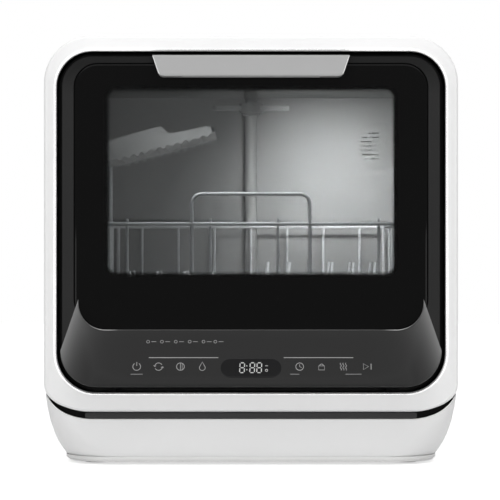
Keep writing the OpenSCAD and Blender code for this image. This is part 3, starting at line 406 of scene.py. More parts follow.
FILL_LOW, FILL_HIGH = box_mm("fill_cap")
fill_x, fill_y = (FILL_LOW[0] + FILL_HIGH[0]) / 2, (FILL_LOW[1] + FILL_HIGH[1]) / 2
louvre_z = (Z_CASE + Z_TOP) / 2
for side in (-1, 1):
    cut(casing, row("louvres", 8, (side * (BODY_W / 2 - 6), Y_BACK - 107, louvre_z), (0, 10, 0),
                    (side * 12, 0, 0), (4, 60)))
cut(casing, row("fill_hole", 1, (fill_x, fill_y, Z_TOP - 9), (0, 0, 1), (0, 0, 20), 48, steps=16))
tidy_mesh(casing)
dress(casing, "cabinet", "casing_white", "casing_shell")

# %% [markdown]
# ## The white base
# The base is a bowl: it narrows downwards, and its rim rises at both sides in a curve that runs
# beside the casing's rounded corner. It is lofted from plan outlines, whose points are slid up
# to the rim's own height, so the rim's curve is part of the wall and not a cut.

# %% Base tray
def plan(half, front, back, r_front, r_back, arc=14, side=56):
    """Points round a plan outline, from the rear left corner along the left side to the front."""
    corners = [(-half + r_front, front + r_front, r_front, 180),
               (half - r_front, front + r_front, r_front, 270),
               (half - r_back, back - r_back, r_back, 0),
               (-half + r_back, back - r_back, r_back, 90)]
    out = []
    for k, (cx, cy, r, start) in enumerate(corners):
        out += [(cx + r * math.cos(math.radians(start + 90 * i / arc)),
                 cy + r * math.sin(math.radians(start + 90 * i / arc))) for i in range(arc + 1)]
        nx, ny, nr, ns = corners[(k + 1) % 4]
        x1, y1 = nx + nr * math.cos(math.radians(ns)), ny + nr * math.sin(math.radians(ns))
        x0, y0 = out[-1]
        out += [(x0 + (x1 - x0) * i / side, y0 + (y1 - y0) * i / side) for i in range(1, side)]
    return out


TRAY_HIGH = box_mm("base_tray")[1]
ACCENT_H = 6.4
BASE_WALL, BASE_FOOT = 3.0, 8
# height, half-width, front edge behind the casing's front, front corner radius
BASE_SECTION = [(BASE_FOOT, 190.6, 8.4, 50), (9.2, 191.8, 7.4, 50), (14, 194.6, 5.6, 46),
                (19.5, 197.6, 4.2, 42), (25, 200.0, 3.4, 38), (35, 203.2, 2.2, 31), (45, 205.6, 1.2, 24),
                (55, 207.2, 0.8, 19), (65, 208.3, 0.5, 15), (73, 208.9, 0.4, 12)]


def rim_height(x):
    """The rim stays level along the front and climbs beside the casing's corner at the sides."""
    return min(Z_CASE - ACCENT_H + climb(x, BODY_W / 2 + 0.5, RIM_ROUND), TRAY_HIGH[2] - 0.1)


SECTION_HEIGHTS = [level[0] for level in BASE_SECTION]


def base_ring(share, inset=0.0, lift=0.0):
    """The ring at a share of the wall's height, at each point's own rim height."""
    plans = [plan(half - inset, Y_FRONT + front + inset, Y_REAR - inset, radius - inset,
                  max(10 - inset, 2)) for _, half, front, radius in BASE_SECTION]
    ring = []
    for path in zip(*plans):
        z = BASE_FOOT + share * 40
        for _ in range(4):
            x, y = (float(np.interp(z, SECTION_HEIGHTS, [p[k] for p in path])) for k in (0, 1))
            z = BASE_FOOT + share * (rim_height(x) - BASE_FOOT)
        ring.append((x, y, z + lift))
    return ring


rings = [base_ring(share) for share in (0, 0.03, 0.12, 0.25, 0.4, 0.6, 0.8, 0.94, 0.985)]
rings += [base_ring(1.0, inset=0.7), base_ring(1.0, inset=BASE_WALL - 0.7)]
rings += [base_ring(share, inset=BASE_WALL) for share in (0.985, 0.8, 0.5, 0.2)]
rings += [base_ring(0, inset=BASE_WALL, lift=BASE_WALL)]
base_tray = piece("base_bowl", *loft(rings), BASE_WHITE, smooth=50)
dress(base_tray, "cabinet", "base_white", "base_tray")

# %% [markdown]
# Between casing and base lies a dark band. A black sheet, set back behind the base's wall, is painted
# shade: it shuts the gap all round, and at both ends the gap closes in a crescent. The band itself
# is a grey strip, moulded apart and clipped in, that covers only the straight part.

# %% Dark band
def liner_ring(inset, top):
    ring = base_ring(1.0, inset=BASE_WALL + 0.2 + inset)
    return [(x, y, Z_CASE + climb(x, BODY_W / 2, FOOT_ROUND) + 1.5 if top else z - 4) for x, y, z in ring]


liner = piece("gap_liner", *loft([liner_ring(0, False), liner_ring(0, True), liner_ring(2, True),
                                  liner_ring(2, False)], closed=True), BLACK_NYLON)
dress(liner, "cabinet", "strip_dark", "accent_strip")
BAND_HALF = 168
band_front = box_mm("accent_strip")[0][1]


def band_ring(half, y, inset=0.0):
    low, high = Z_CASE - ACCENT_H + 0.25 + inset, Z_CASE - 0.1 - inset
    return [(-half, y, high - 1.2), (-half + 1.2, y, high), (half - 1.2, y, high), (half, y, high - 1.2),
            (half, y, low + 1.2), (half - 1.2, y, low), (-half + 1.2, y, low), (-half, y, low + 1.2)]


rings = [band_ring(BAND_HALF, band_front + 0.3), band_ring(BAND_HALF, band_front - 0.9),
         band_ring(BAND_HALF - 0.4, band_front - 1.3, 0.4)]
band = piece("dark_band", *loft(rings), STRIP_DARK)
dress(band, "cabinet", "strip_dark")

# %% [markdown]
# ## The door's surround
# Round the glass runs a dark frame, moulded in ABS with a fine matt grain. Like the white frame
# it is a ring of outlines: the door's edge, a small round, the flat strip beside the glass, the
# groove that the glass sits in, and the window's cut.

# %% Door materials
DOOR_DARK = moulded("matt_abs_dark", "282828", "252525", 0.5, grain=0.5, depth=0.02, level=0.08)


def shaded_over(material, share, other):
    """Mixes another shade into a material's colour; share is a socket."""
    tree = material.node_tree
    shader = next(n for n in tree.nodes if n.type == "BSDF_PRINCIPLED")
    grainy = shader.inputs["Base Color"].links[0].from_socket
    mixed = add(tree, "ShaderNodeMix", {0: share, 6: grainy, 7: srgb(other)}, data_type="RGBA",
                clamp_factor=True)
    tree.links.new(mixed.outputs[2], shader.inputs["Base Color"])
    return material


def place_of(material):
    """The material's nodes and the sockets of X, Y and Z."""
    tree = material.node_tree
    coords = next(n for n in tree.nodes if n.type == "TEX_COORD").outputs["Object"]
    return tree, add(tree, "ShaderNodeSeparateXYZ", {0: coords}).outputs


# Painted shade: the frame's colour darkens towards its top strip above the glass; heights in metres.
DARK_FROM, DARK_FULL = 0.375, 0.405
tree, (_, _, height_up) = place_of(DOOR_DARK)
upper = add(tree, "ShaderNodeMapRange", {0: height_up, 1: DARK_FROM, 2: DARK_FULL})
shaded_over(DOOR_DARK, upper.outputs[0], "161616")


# a point of the crease in metres, and the direction square to it
CREASE_START, CREASE_NORMAL = (0.175, 0, 0.168), (0.944, 0, 0.330)


def burnished(name, shade, bright, reach):
    """Charcoal ABS with a painted sheen that lightens its colour towards the crease, where the panel ends.
    """
    material = moulded(name, shade, shade, 0.42, grain=0.4, depth=0.012, level=0.1)
    tree, (x, _, z) = place_of(material)
    half = add(tree, "ShaderNodeMath", {0: x}, operation="ABSOLUTE").outputs[0]
    place = add(tree, "ShaderNodeCombineXYZ", {0: half, 2: z}).outputs[0]
    slide = add(tree, "ShaderNodeVectorMath", {0: CREASE_START, 1: place}, operation="SUBTRACT")
    away = add(tree, "ShaderNodeVectorMath", {0: slide.outputs[0], 1: CREASE_NORMAL},
               operation="DOT_PRODUCT").outputs["Value"]
    steep = add(tree, "ShaderNodeMath", {0: away, 1: -1 / reach}, operation="MULTIPLY")
    fade = add(tree, "ShaderNodeMath", {0: steep.outputs[0]}, operation="EXPONENT")
    return shaded_over(material, fade.outputs[0], bright)


# The panel's charcoal, with the painted sheen near the crease.
CHIN_DARK = burnished("satin_abs_charcoal", "272727", "848484", 0.0105)


# %% Door surround
def door_outline(inset):
    return rounded(DOOR_W, Z_DOOR0, Z_DOOR1, DOOR_R0, DOOR_R1, inset, arc=16)


def glass_outline(inset):
    return rounded(GLASS_W, Z_CHIN, Z_GLASS1, GLASS_R0, GLASS_R1, inset, arc=16)


def window_outline(inset):
    return rounded(WINDOW_W, Z_WIN0, Z_WIN1, 8, 8, inset, arc=16)


Y_GLASS, Y_PANE = GLASS_LOW[1], GLASS_HIGH[1]
Y_CORE = DOOR_HIGH[1]
RIM = 2.2
rings = stack(door_outline, (0, Y_CORE - 0.2), (0, Y_FACE + 3.4), (0.4, Y_FACE + 3.0), (RIM, Y_FACE + 3.0),
              *[(RIM + i, Y_FACE + 1.0 - d) for i, d in quarter(1.0, 4)], (RIM + 1.8, Y_FACE))
rings += stack(glass_outline, (-1.7, Y_FACE), (-0.9, Y_FACE), (-0.4, Y_FACE + 0.4), (-0.35, Y_PANE + 0.1))
rings += stack(window_outline, (-4, Y_PANE + 0.1), (-4, Y_CORE - 0.2))
# Bands by ring: the door's outer edge and the step in front of it, the glass's groove and the window's cut
# are near-black, painted shade for the gaps; the rest is the dark ABS.
bands = [1] * 3 + [0] * 9 + [1] * 4
surround = piece("door_surround", *loft(rings, closed=True), (DOOR_DARK, BLACK_NYLON), smooth=45,
                 marks=[band for band in bands for _ in rings[0]])
dress(surround, "door", "door_dark", "door_frame")

# %% [markdown]
# ## The control panel
# The panel leans forward under the glass and wraps up round the glass's lower corners, where it
# ends in a crease. Such a surface is hard to loft and easy to write as a height: each point of a
# grid between two outlines is moved forward by the smaller of two slopes, blended where they
# meet. One slope rises from the crease, the other one from the glass's lower edge.

# %% The panel's outlines and height
Y_NOSE = FRAME_LOW[1] - 17.5
Z_LIP = 80.7
CHIN_TILT = math.radians(21.4)
CREASE_TOP, CREASE_FOOT = (-175.0, 168.0), (-(DOOR_W / 2 - 0.65), 116.2)


def spread(points, count):
    """Points at equal steps along a polyline."""
    p = np.array(points, dtype=float)
    at = np.concatenate([[0], np.cumsum(np.hypot(*np.diff(p, axis=0).T))])
    want = np.linspace(0, at[-1], count)
    return list(zip(np.interp(want, at, p[:, 0]), np.interp(want, at, p[:, 1])))


def bend(cx, cz, rx, rz, a0, a1, steps=24):
    angles = [math.radians(a0 + (a1 - a0) * i / steps) for i in range(steps + 1)]
    return [(cx + rx * math.cos(a), cz + rz * math.sin(a)) for a in angles]


inner_arc = [CREASE_TOP] + bend(-147, 165, 28, 165 - Z_CHIN, 180, 270)
inner_half = spread(inner_arc, 49) + spread([(-147, Z_CHIN), (0, Z_CHIN)], 25)[1:]
outer_half = spread([CREASE_TOP, CREASE_FOOT], 25)
outer_half += spread(bend(-157, 116.2, -(CREASE_FOOT[0] + 157), 116.2 - Z_LIP, 180, 270), 25)[1:]
outer_half += spread([(-157, Z_LIP), (0, Z_LIP)], 25)[1:]
foot_half = spread([CREASE_TOP, CREASE_FOOT], 25)
foot_half += spread(bend(-149.75, 121.5, 44, 44, 180, 270), 25)[1:]
foot_half += spread([(-149.75, Z_DOOR0), (0, Z_DOOR0)], 25)[1:]


def mirrored(half):
    return half + [(-x, z) for x, z in reversed(half[:-1])]


inner_line, outer_line, foot_line = (mirrored(half) for half in (inner_half, outer_half, foot_half))


def soft_min(a, b, reach):
    h = max(reach - abs(a - b), 0) / reach
    return min(a, b) - h * h * reach / 4


def panel_height(x, z):
    """How far the panel's surface stands in front of the door's face."""
    from_crease = 0.55 * ((175 - abs(x)) * 0.944 - (z - 168) * 0.330)
    t = (Z_CHIN - z) * math.tan(CHIN_TILT)
    from_glass = 1.2 * math.log(1 + math.exp(min(t / 1.2, 40)))
    share = min(max((abs(x) - 125) / 50, 0), 1)
    from_glass += 5 * share * share * (3 - 2 * share)
    return max(soft_min(soft_min(from_crease, from_glass, 6), Y_FACE - Y_NOSE - 0.2, 3), 0)


# %% Control panel
EDGE_ROUND = 1.8
ROWS = [1 - (1 - i / 20) ** 1.5 for i in range(21)]
columns = []
for k, ((xi, zi), (xo, zo), (xf, zf)) in enumerate(zip(inner_line, outer_line, foot_line)):
    from_tip = min(k, len(inner_line) - 1 - k)
    edged = min(max((from_tip - 20) / 14, 0), 1)
    width = math.hypot(xo - xi, zo - zi)
    column = []
    for v in ROWS + [1.0]:
        x, z = xi + (xo - xi) * v, zi + (zo - zi) * v
        near = min(width * (1 - v), EDGE_ROUND)
        fall = EDGE_ROUND - math.sqrt(max(EDGE_ROUND ** 2 - (EDGE_ROUND - near) ** 2, 0))
        column.append((x, Y_FACE - 0.15 - max(panel_height(x, z) - fall * edged, 0), z))
    tip_y = column[-1][1]
    column += [(xo + (xf - xo) * t, tip_y + (Y_FACE - 0.3 - tip_y) * t, zo + (zf - zo) * t)
               for t in (0.3, 0.65, 1.0)]
    if from_tip == 0:
        # At both tips the section shrinks to one edge, which closes the shell.
        column = [(xi, Y_FACE - 0.3, zi)] * len(column)
    column += [(xf, Y_FACE + 1, zf), (xi, Y_FACE + 1, zi)]
    columns.append(column)
# The faces from the panel's lower edge back to the door's foot are near-black: painted shade in the gap
# under the panel.
control_panel = piece("control_panel_shell", *loft(columns, caps=False), (CHIN_DARK, BLACK_NYLON),
                      smooth=60, marks=([0] * len(ROWS) + [1] * 5 + [0]) * (len(columns) - 1))
dress(control_panel, "door", "panel_dark", "control_panel")

# %% [markdown]
# Where the panel meets the glass it ends in a fine bead, whose lighter grey is a painted highlight along the
# glass's lower edge.
# It is a wire swept along the same outline, after the helper for the basket's wires.

# %% Sweeping a round section along a path
def sweep(path, radius, closed=False, sides=10, bend_r=8.0, steps=5):
    """A round wire along a polyline whose corners are bent to bend_r."""
    p = [np.array(q, dtype=float) for q in path]
    n, line = len(p), []
    for i, q in enumerate(p):
        if not bend_r or (not closed and i in (0, n - 1)):
            line.append(q)
            continue
        a, b = p[i - 1] - q, p[(i + 1) % n] - q
        cut_back = min(bend_r, np.linalg.norm(a) / 2.01, np.linalg.norm(b) / 2.01)
        a, b = q + a / np.linalg.norm(a) * cut_back, q + b / np.linalg.norm(b) * cut_back
        line += [(1 - t) ** 2 * a + 2 * t * (1 - t) * q + t * t * b
                 for t in (k / steps for k in range(steps + 1))]
    rings, side = [], None
    m = len(line)
    for i in range(m):
        along = line[(i + 1) % m if closed or i < m - 1 else i] - line[i - 1 if closed or i else 0]
        along = along / np.linalg.norm(along)
        if side is None:
            side = np.cross(along, (0.31, 0.53, 0.79))
        side = side - along * (side @ along)
        side = side / np.linalg.norm(side)
        up = np.cross(along, side)
        rings.append([tuple(line[i] + radius * (side * math.cos(t) + up * math.sin(t)))
                      for t in (2 * math.pi * k / sides for k in range(sides))])
    return loft(rings, closed=closed)


BEAD = moulded("satin_abs_bead", "5C5C5C", "525252", 0.35, grain=0.4, depth=0.01, level=0.2)
# A painted highlight lightens the bead on both lower corners: it brightens, stays and fades along X, in
# metres.
WORN = (0.134, 0.146, 0.152, 0.164)
tree, (across, _, _) = place_of(BEAD)
mirror_x = add(tree, "ShaderNodeMath", {0: across}, operation="ABSOLUTE").outputs[0]
starts = add(tree, "ShaderNodeMapRange", {0: mirror_x, 1: WORN[0], 2: WORN[1]}).outputs[0]
ends = add(tree, "ShaderNodeMapRange", {0: mirror_x, 1: WORN[2], 2: WORN[3], 3: 1.0, 4: 0.0}).outputs[0]
worn = add(tree, "ShaderNodeMath", {0: starts, 1: ends}, operation="MULTIPLY").outputs[0]
shaded_over(BEAD, worn, "C8C8C8")
bead_path = [(x, Y_FACE - 0.25 - panel_height(x, z), z) for x, z in inner_line[6:-6]]
bead = piece("panel_bead", *sweep(bead_path, 0.38, sides=6, bend_r=0), BEAD, smooth=60)
dress(bead, "door", "panel_dark")


# %% [markdown]
# ## The handle
# The pull handle is a plate of bead-blasted, anodised aluminium: a flat grey face with bright
# cut edges at its slanted sides. It stands in front of the glass, open underneath, and the
# fingers go in behind it.

# %% Handle material and plate
ALUMINIUM = moulded("blasted_anodised_aluminium", "9A9A9A", "959595", 0.45, grain=0.3, depth=0.01,
                    metallic=0.4, level=0.2)
EDGE_BRIGHT = moulded("cut_aluminium_edge", "F2F2F2", "E6E6E6", 0.25, grain=0.3, depth=0.004,
                      metallic=0.5)
HANDLE_LOW, HANDLE_HIGH = box_mm("pull_handle")


def handle_outline(inset, taper=0.34, radii=(7.0, 7.0, 1.2, 1.2), arc=6):
    top, foot = HANDLE_HIGH[2] - 1.3 - inset, HANDLE_LOW[2] + inset
    half = HANDLE_HIGH[0] - inset * 1.06
    lean = (top - foot) * taper
    corners = [(-half + lean, foot), (half - lean, foot), (half, top), (-half, top)]
    out = []
    for k, (x, z) in enumerate(corners):
        px, pz = corners[k - 1]
        nx, nz = corners[(k + 1) % 4]
        r = max(radii[k] - inset, 0.4)
        to_prev = np.array([px - x, pz - z]) / math.hypot(px - x, pz - z)
        to_next = np.array([nx - x, nz - z]) / math.hypot(nx - x, nz - z)
        angle = math.acos(float(np.clip(to_prev @ to_next, -1, 1)))
        cut_back = r / math.tan(angle / 2)
        a, b, tip = to_prev * cut_back, to_next * cut_back, np.zeros(2)
        for i in range(arc + 1):
            t = i / arc
            q = (1 - t) ** 2 * a + 2 * t * (1 - t) * tip + t * t * b
            out.append((x + float(q[0]), z + float(q[1])))
    return out


Y_PLATE = HANDLE_LOW[1]
WALL_T = 2.5
rings = stack(handle_outline, (WALL_T + 0.2, Y_PLATE + WALL_T), (WALL_T + 0.2, Y_FACE - 0.2),
              (0, Y_FACE - 0.2), (0, Y_PLATE + 1.0), (0.5, Y_PLATE + 0.35), (1.5, Y_PLATE), (2.8, Y_PLATE))
handle = piece("pull_handle_plate", *loft(rings), ALUMINIUM, smooth=30)
foot = HANDLE_LOW[2]
corners = [(x, y, z) for x in (-70, 70) for y in (Y_PLATE + WALL_T, Y_FACE - 1.5)
           for z in (foot - 2, foot + WALL_T + 1)]
BOX_FACES = [(0, 1, 3, 2), (4, 6, 7, 5), (0, 4, 5, 1), (2, 3, 7, 6), (0, 2, 6, 4), (1, 5, 7, 3)]
cut(handle, piece("finger_opening", corners, BOX_FACES, smooth=0))
tidy_mesh(handle, 25)
handle.data.materials.append(EDGE_BRIGHT)
for polygon in handle.data.polygons:
    slanted = polygon.center.z * 1000 > foot - 1 and abs(polygon.normal.x) > 0.35
    if slanted and polygon.center.y * 1000 < Y_PLATE + 1.2:
        polygon.material_index = 1
dress(handle, "door", "handle_metal", "pull_handle")

# %% [markdown]
# ## The outer glass
# The door's pane is float glass, printed black on its inside except for the window, where only a
# light grey tint is left. The print ends in a soft row of ever smaller dots, which the material
# draws as a smooth fade. In the material a rounded-box distance in Object coordinates decides how
# much of the pane is printed, and that share drives the alpha.

# %% Printed glass
def printed_glass(name):
    material, tree, out, coords = new_material(name)
    parts = add(tree, "ShaderNodeSeparateXYZ", {0: coords}).outputs

    def calc(how, *values):
        return add(tree, "ShaderNodeMath", dict(enumerate(values)), operation=how).outputs[0]

    radius, more = 12.0, 1.5
    half_w = (WINDOW_W / 2 + more - radius) / 1000
    half_h = ((Z_WIN1 - Z_WIN0) / 2 + more - radius) / 1000
    dx = calc("SUBTRACT", calc("ABSOLUTE", parts[0]), half_w)
    dz = calc("SUBTRACT", calc("ABSOLUTE", calc("SUBTRACT", parts[2], (Z_WIN0 + Z_WIN1) / 2000)), half_h)
    ox, oz = calc("MAXIMUM", dx, 0.0), calc("MAXIMUM", dz, 0.0)
    outside = calc("SQRT", calc("ADD", calc("MULTIPLY", ox, ox), calc("MULTIPLY", oz, oz)))
    away = calc("ADD", outside, calc("MINIMUM", calc("MAXIMUM", dx, dz), 0.0))
    edge = calc("SUBTRACT", away, radius / 1000)
    alpha = add(tree, "ShaderNodeMapRange", {0: edge, 1: -0.0065, 2: 0.0015, 3: 0.3, 4: 1.0},
                interpolation_type="SMOOTHSTEP")
    solid = calc("GREATER_THAN", edge, 0.0015)
    waves = add(tree, "ShaderNodeTexNoise", {"Vector": coords, "Scale": 1000 / 45, "Detail": 1.0})
    relief = add(tree, "ShaderNodeBump", {"Strength": 0.05, "Distance": 0.0002,
                                          "Height": waves.outputs[0]})
    gloss = add(tree, "ShaderNodeMapRange", {0: waves.outputs[0], 3: 0.03, 4: 0.06})
    shader = add(tree, "ShaderNodeBsdfPrincipled",
                 {"Base Color": srgb("090909"), "Roughness": gloss.outputs[0], "IOR": 1.5,
                  "Specular IOR Level": 0.05, "Normal": relief.outputs[0],
                  "Alpha": calc("MAXIMUM", alpha.outputs[0], solid)})
    tree.links.new(shader.outputs[0], out.inputs[0])
    return material


PRINTED_GLASS = printed_glass("black_printed_float_glass")
rings = stack(glass_outline, (0.8, Y_PANE), (0, Y_PANE - 0.4), (0, Y_GLASS + 0.8),
              (0.25, Y_GLASS + 0.25), (0.9, Y_GLASS), (2.4, Y_GLASS))
glass = piece("door_glass_pane", *loft(rings), PRINTED_GLASS, smooth=30)
dress(glass, "door", "door_glass", "door_glass")

# %% [markdown]
# ## The display and the touch keys
# The display is a pill of smoked acrylic let into the panel. Its digits and the keys are thin
# prints: each one is drawn as a few strokes on the panel's tilted plane, and every stroke
# becomes a ribbon with a thickness of its own, so the marks are real geometry.

# %% Drawing on the tilted panel
U_Y, U_Z = Y_NOSE + 6 * (1 - math.cos(CHIN_TILT)), 83.5 + 6 * math.sin(CHIN_TILT)
PANEL_LIFT = 0.15


def on_panel(u, v, w):
    """A point u across and v up the tilted panel, w in front of it."""
    s, c = math.sin(CHIN_TILT), math.cos(CHIN_TILT)
    return (u, U_Y + v * s - (w + PANEL_LIFT) * c, U_Z + v * c + (w + PANEL_LIFT) * s)


def stroke(points, width, low=-0.2, high=0.12, closed=False):
    """Vertices and faces of a ribbon along points (u, v) on the panel."""
    p = np.array(points, dtype=float)
    n = len(p)
    left, right = [], []
    for i in range(n):
        before = p[i - 1] if closed or i else p[i]
        after = p[(i + 1) % n] if closed or i < n - 1 else p[i]
        along = (after - before) / max(np.hypot(*(after - before)), 1e-9)
        side = np.array([-along[1], along[0]]) * width / 2
        left.append(p[i] + side)
        right.append(p[i] - side)
    rings = [[on_panel(*a, low), on_panel(*a, high), on_panel(*b, high), on_panel(*b, low)]
             for a, b in zip(left, right)]
    return loft(rings, closed=closed)


def drawn(name, shapes, material):
    """One object out of several strokes or solids, each given as (points, faces)."""
    points, faces = [], []
    for some, their in shapes:
        faces += [tuple(i + len(points) for i in face) for face in their]
        points += some
    return piece(name, points, faces, material, smooth=30, merge=0.0001)


def arc_points(cu, cv, r, a0, a1, steps=20):
    return [(cu + r * math.cos(math.radians(a0 + (a1 - a0) * i / steps)),
             cv + r * math.sin(math.radians(a0 + (a1 - a0) * i / steps)))
            for i in range(steps + 1)]


# %% Display window
DISPLAY_V, DISPLAY_W, DISPLAY_H = 14.5, 61, 20
ACRYLIC = moulded("smoked_acrylic", "1A1A1B", "171718", 0.12, grain=0.5, depth=0.001, level=0.1,
                  spread=0.03)
pill = []
for s, a0 in ((-1, 90), (1, -90)):
    pill += arc_points(s * (DISPLAY_W - DISPLAY_H) / 2, DISPLAY_V, DISPLAY_H / 2, a0, a0 + 180, 16)


def pill_ring(shrink, w):
    out = []
    for u, v in pill:
        centre = np.array([math.copysign(min(abs(u), (DISPLAY_W - DISPLAY_H) / 2), u), DISPLAY_V])
        q = centre + (np.array([u, v]) - centre) * (1 - shrink / (DISPLAY_H / 2))
        out.append(on_panel(float(q[0]), float(q[1]), w))
    return out


window = drawn("display_lens", [loft([pill_ring(0, -0.9), pill_ring(0, 0.15), pill_ring(0.3, 0.3),
                                      pill_ring(0.8, 0.32)])], ACRYLIC)
dress(window, "door", "display_glass", "display_window")

# %% Digits and the mark beside them
def printed(name, shade, glow):
    material, tree, out, coords = new_material(name)
    speck = add(tree, "ShaderNodeTexNoise", {"Vector": coords, "Scale": 1000 / 0.6, "Detail": 2.0})
    tint = add(tree, "ShaderNodeMix", {0: speck.outputs[0], 6: srgb(shade), 7: srgb(glow)},
               data_type="RGBA")
    rough = add(tree, "ShaderNodeMapRange", {0: speck.outputs[0], 3: 0.4, 4: 0.6})
    relief = add(tree, "ShaderNodeBump", {"Strength": 0.3, "Distance": 0.00001,
                                          "Height": speck.outputs[0]})
    shader = add(tree, "ShaderNodeBsdfPrincipled",
                 {"Base Color": tint.outputs[2], "Roughness": rough.outputs[0],
                  "Normal": relief.outputs[0]})
    tree.links.new(shader.outputs[0], out.inputs[0])
    return material


KEY_PRINT = printed("silk_screen_grey", "9C9C9C", "8E8E8E")
DIGIT_PRINT = printed("lit_segment_white", "D2D2D2", "C4C4C4")
LINE_PRINT = printed("silk_screen_light_line", "A6A6A6", "989898")
SEGMENTS = {"a": ((0, 1), (1, 1)), "b": ((1, 1), (1, 0.5)), "c": ((1, 0.5), (1, 0)),
            "d": ((0, 0), (1, 0)), "e": ((0, 0.5), (0, 0)), "f": ((0, 1), (0, 0.5)),
            "g": ((0, 0.5), (1, 0.5))}
DIGIT_LEFTS, COLON_U = (-11.2, -1.0, 6.0), -4.2
DIGIT_W, DIGIT_H, DIGIT_LEAN, DIGIT_FOOT = 4.6, 10.4, 0.5, DISPLAY_V - 5.0
SEGMENT_W, SEGMENT_GAP, ON_LENS = 0.95, 0.75, {"low": 0.2, "high": 0.5}
strokes = []
for left in DIGIT_LEFTS:
    for (x0, y0), (x1, y1) in SEGMENTS.values():
        a, b = (np.array([left + x * DIGIT_W + (y - 0.5) * DIGIT_LEAN, DIGIT_FOOT + y * DIGIT_H])
                for x, y in ((x0, y0), (x1, y1)))
        trim = (b - a) / np.hypot(*(b - a)) * SEGMENT_GAP
        strokes.append(stroke([a + trim, b - trim], SEGMENT_W, **ON_LENS))
for v in (DISPLAY_V - 1.9, DISPLAY_V + 2.2):
    strokes.append(stroke([(COLON_U, v - 0.5), (COLON_U, v + 0.5)], 1.0, **ON_LENS))
strokes.append(stroke(arc_points(15.6, DISPLAY_V - 2.6, 1.2, 0, 324, 9), 0.5, closed=True, **ON_LENS))
strokes.append(stroke([(14.2, DISPLAY_V + 2.2), (17, DISPLAY_V + 2.2)], 0.5, **ON_LENS))
digits = drawn("display_digits", strokes, DIGIT_PRINT)
dress(digits, "door", "symbol_print")

# %% [markdown]
# The keys stand for functions that any dishwasher has: power, a cycle, half load, water, time,
# lock, drying and start. All are plain signs drawn from arcs and lines, and nothing is lettered.

# %% Touch keys
def key_power(u, v, r):
    return [stroke(arc_points(u, v, r, 125, 415), 0.7), stroke([(u, v + r * 0.2), (u, v + r * 1.25)], 0.7)]


def key_cycle(u, v, r):
    return [stroke(arc_points(u, v, r, 30, 180), 0.7), stroke(arc_points(u, v, r, 210, 360), 0.7),
            stroke([(u - r - 1.2, v + 1.2), (u - r, v), (u - r + 1.3, v + 1.0)], 0.6),
            stroke([(u + r + 1.2, v - 1.2), (u + r, v), (u + r - 1.3, v - 1.0)], 0.6)]


def key_half(u, v, r):
    return [stroke(arc_points(u, v, r, 0, 342, 19), 0.7, closed=True), stroke([(u, v - r), (u, v + r)], 0.6),
            stroke([(u + r * 0.45, v - r * 0.8), (u + r * 0.45, v + r * 0.8)], 0.5)]


def key_drop(u, v, r):
    drop = arc_points(u, v - r * 0.3, r * 0.75, -220, 40, 16)
    return [stroke(drop + [(u, v + r * 1.25)], 0.65, closed=True)]


def key_clock(u, v, r):
    return [stroke(arc_points(u, v, r, 0, 342, 19), 0.7, closed=True),
            stroke([(u, v + r * 0.6), (u, v), (u + r * 0.5, v - r * 0.25)], 0.6)]


def key_lock(u, v, r):
    w = r * 0.75
    return [stroke([(u - w, v - r * 0.9), (u + w, v - r * 0.9), (u + w, v + r * 0.2), (u - w, v + r * 0.2)],
                   0.65, closed=True), stroke(arc_points(u, v + r * 0.2, w * 0.65, 0, 180), 0.65)]


def key_waves(u, v, r):
    return [stroke([(u + d + 0.7 * math.sin(i * 1.05), v - r + i * r / 6) for i in range(13)], 0.6)
            for d in (-2.6, 0, 2.6)]


def key_play(u, v, r):
    arrow = [(u - r * 0.5, v - r * 0.8), (u - r * 0.5, v + r * 0.8), (u + r * 0.85, v)]
    return [stroke(arrow, 0.65, closed=True),
            stroke([(u + r * 1.5, v - r * 0.8), (u + r * 1.5, v + r * 0.8)], 0.8)]


KEYS = [(-115, key_power), (-93, key_cycle), (-71, key_half), (-49, key_drop),
        (49, key_clock), (71, key_lock), (93, key_waves), (115, key_play)]
KEY_V, KEY_R, BAR_V, SIGN_V = DISPLAY_V + 1.5, 3.9, DISPLAY_V - 6.5, 42.5
strokes = [s for u, draw in KEYS for s in draw(u, KEY_V, KEY_R)]
for u, wide in ((-115, 12), (44, 9), (103, 16)):
    strokes.append(stroke([(u - wide / 2, BAR_V), (u + wide / 2, BAR_V)], 0.5))
for u in (-104, -90, -76, -62, -48, -36):
    strokes.append(stroke(arc_points(u, SIGN_V, 1.5, 0, 324, 9), 0.5, closed=True))
    strokes.append(stroke([(u + 3.4, SIGN_V), (u + 8.2, SIGN_V)], 0.5))
keys = drawn("touch_keys", strokes, KEY_PRINT)
dress(keys, "door", "symbol_print", "touch_symbols")
lines = drawn("panel_lines", [stroke([(s * 33, DISPLAY_V + 11), (s * 103, DISPLAY_V + 11)], 0.75)
                              for s in (-1, 1)], LINE_PRINT)
dress(lines, "door", "symbol_print")

# %% [markdown]
# ## The wire basket
# The dish basket is welded from round steel wire, 4 mm for its frame and 3 mm for its rods, and
# coated with light grey nylon powder. Rods that repeat come from the Geometry Nodes tree; the
# rims and the raised loop at the front, which turn corners, are swept along a rounded path.

# %% Basket sizes and its coating
WIRE, ROD = 4.0, 3.0
RAIL_LOW, RAIL_HIGH = box_mm("basket_floor")
BX = RAIL_HIGH[0] - WIRE / 2
BY0, BY1 = RAIL_LOW[1] + WIRE / 2, RAIL_HIGH[1] - WIRE / 2
Z_BASKET, Z_LOOP = (RAIL_LOW[2] + RAIL_HIGH[2]) / 2, box_mm("basket_ends")[1][2] - WIRE / 2
Z_HOOP = Z_LOOP - 31
LOOP_HALF = 61
NYLON_WIRE = moulded("nylon_coated_steel_wire", "DCDDDF", "CFD0D2", 0.35, grain=0.8, depth=0.02,
                     level=0.4)


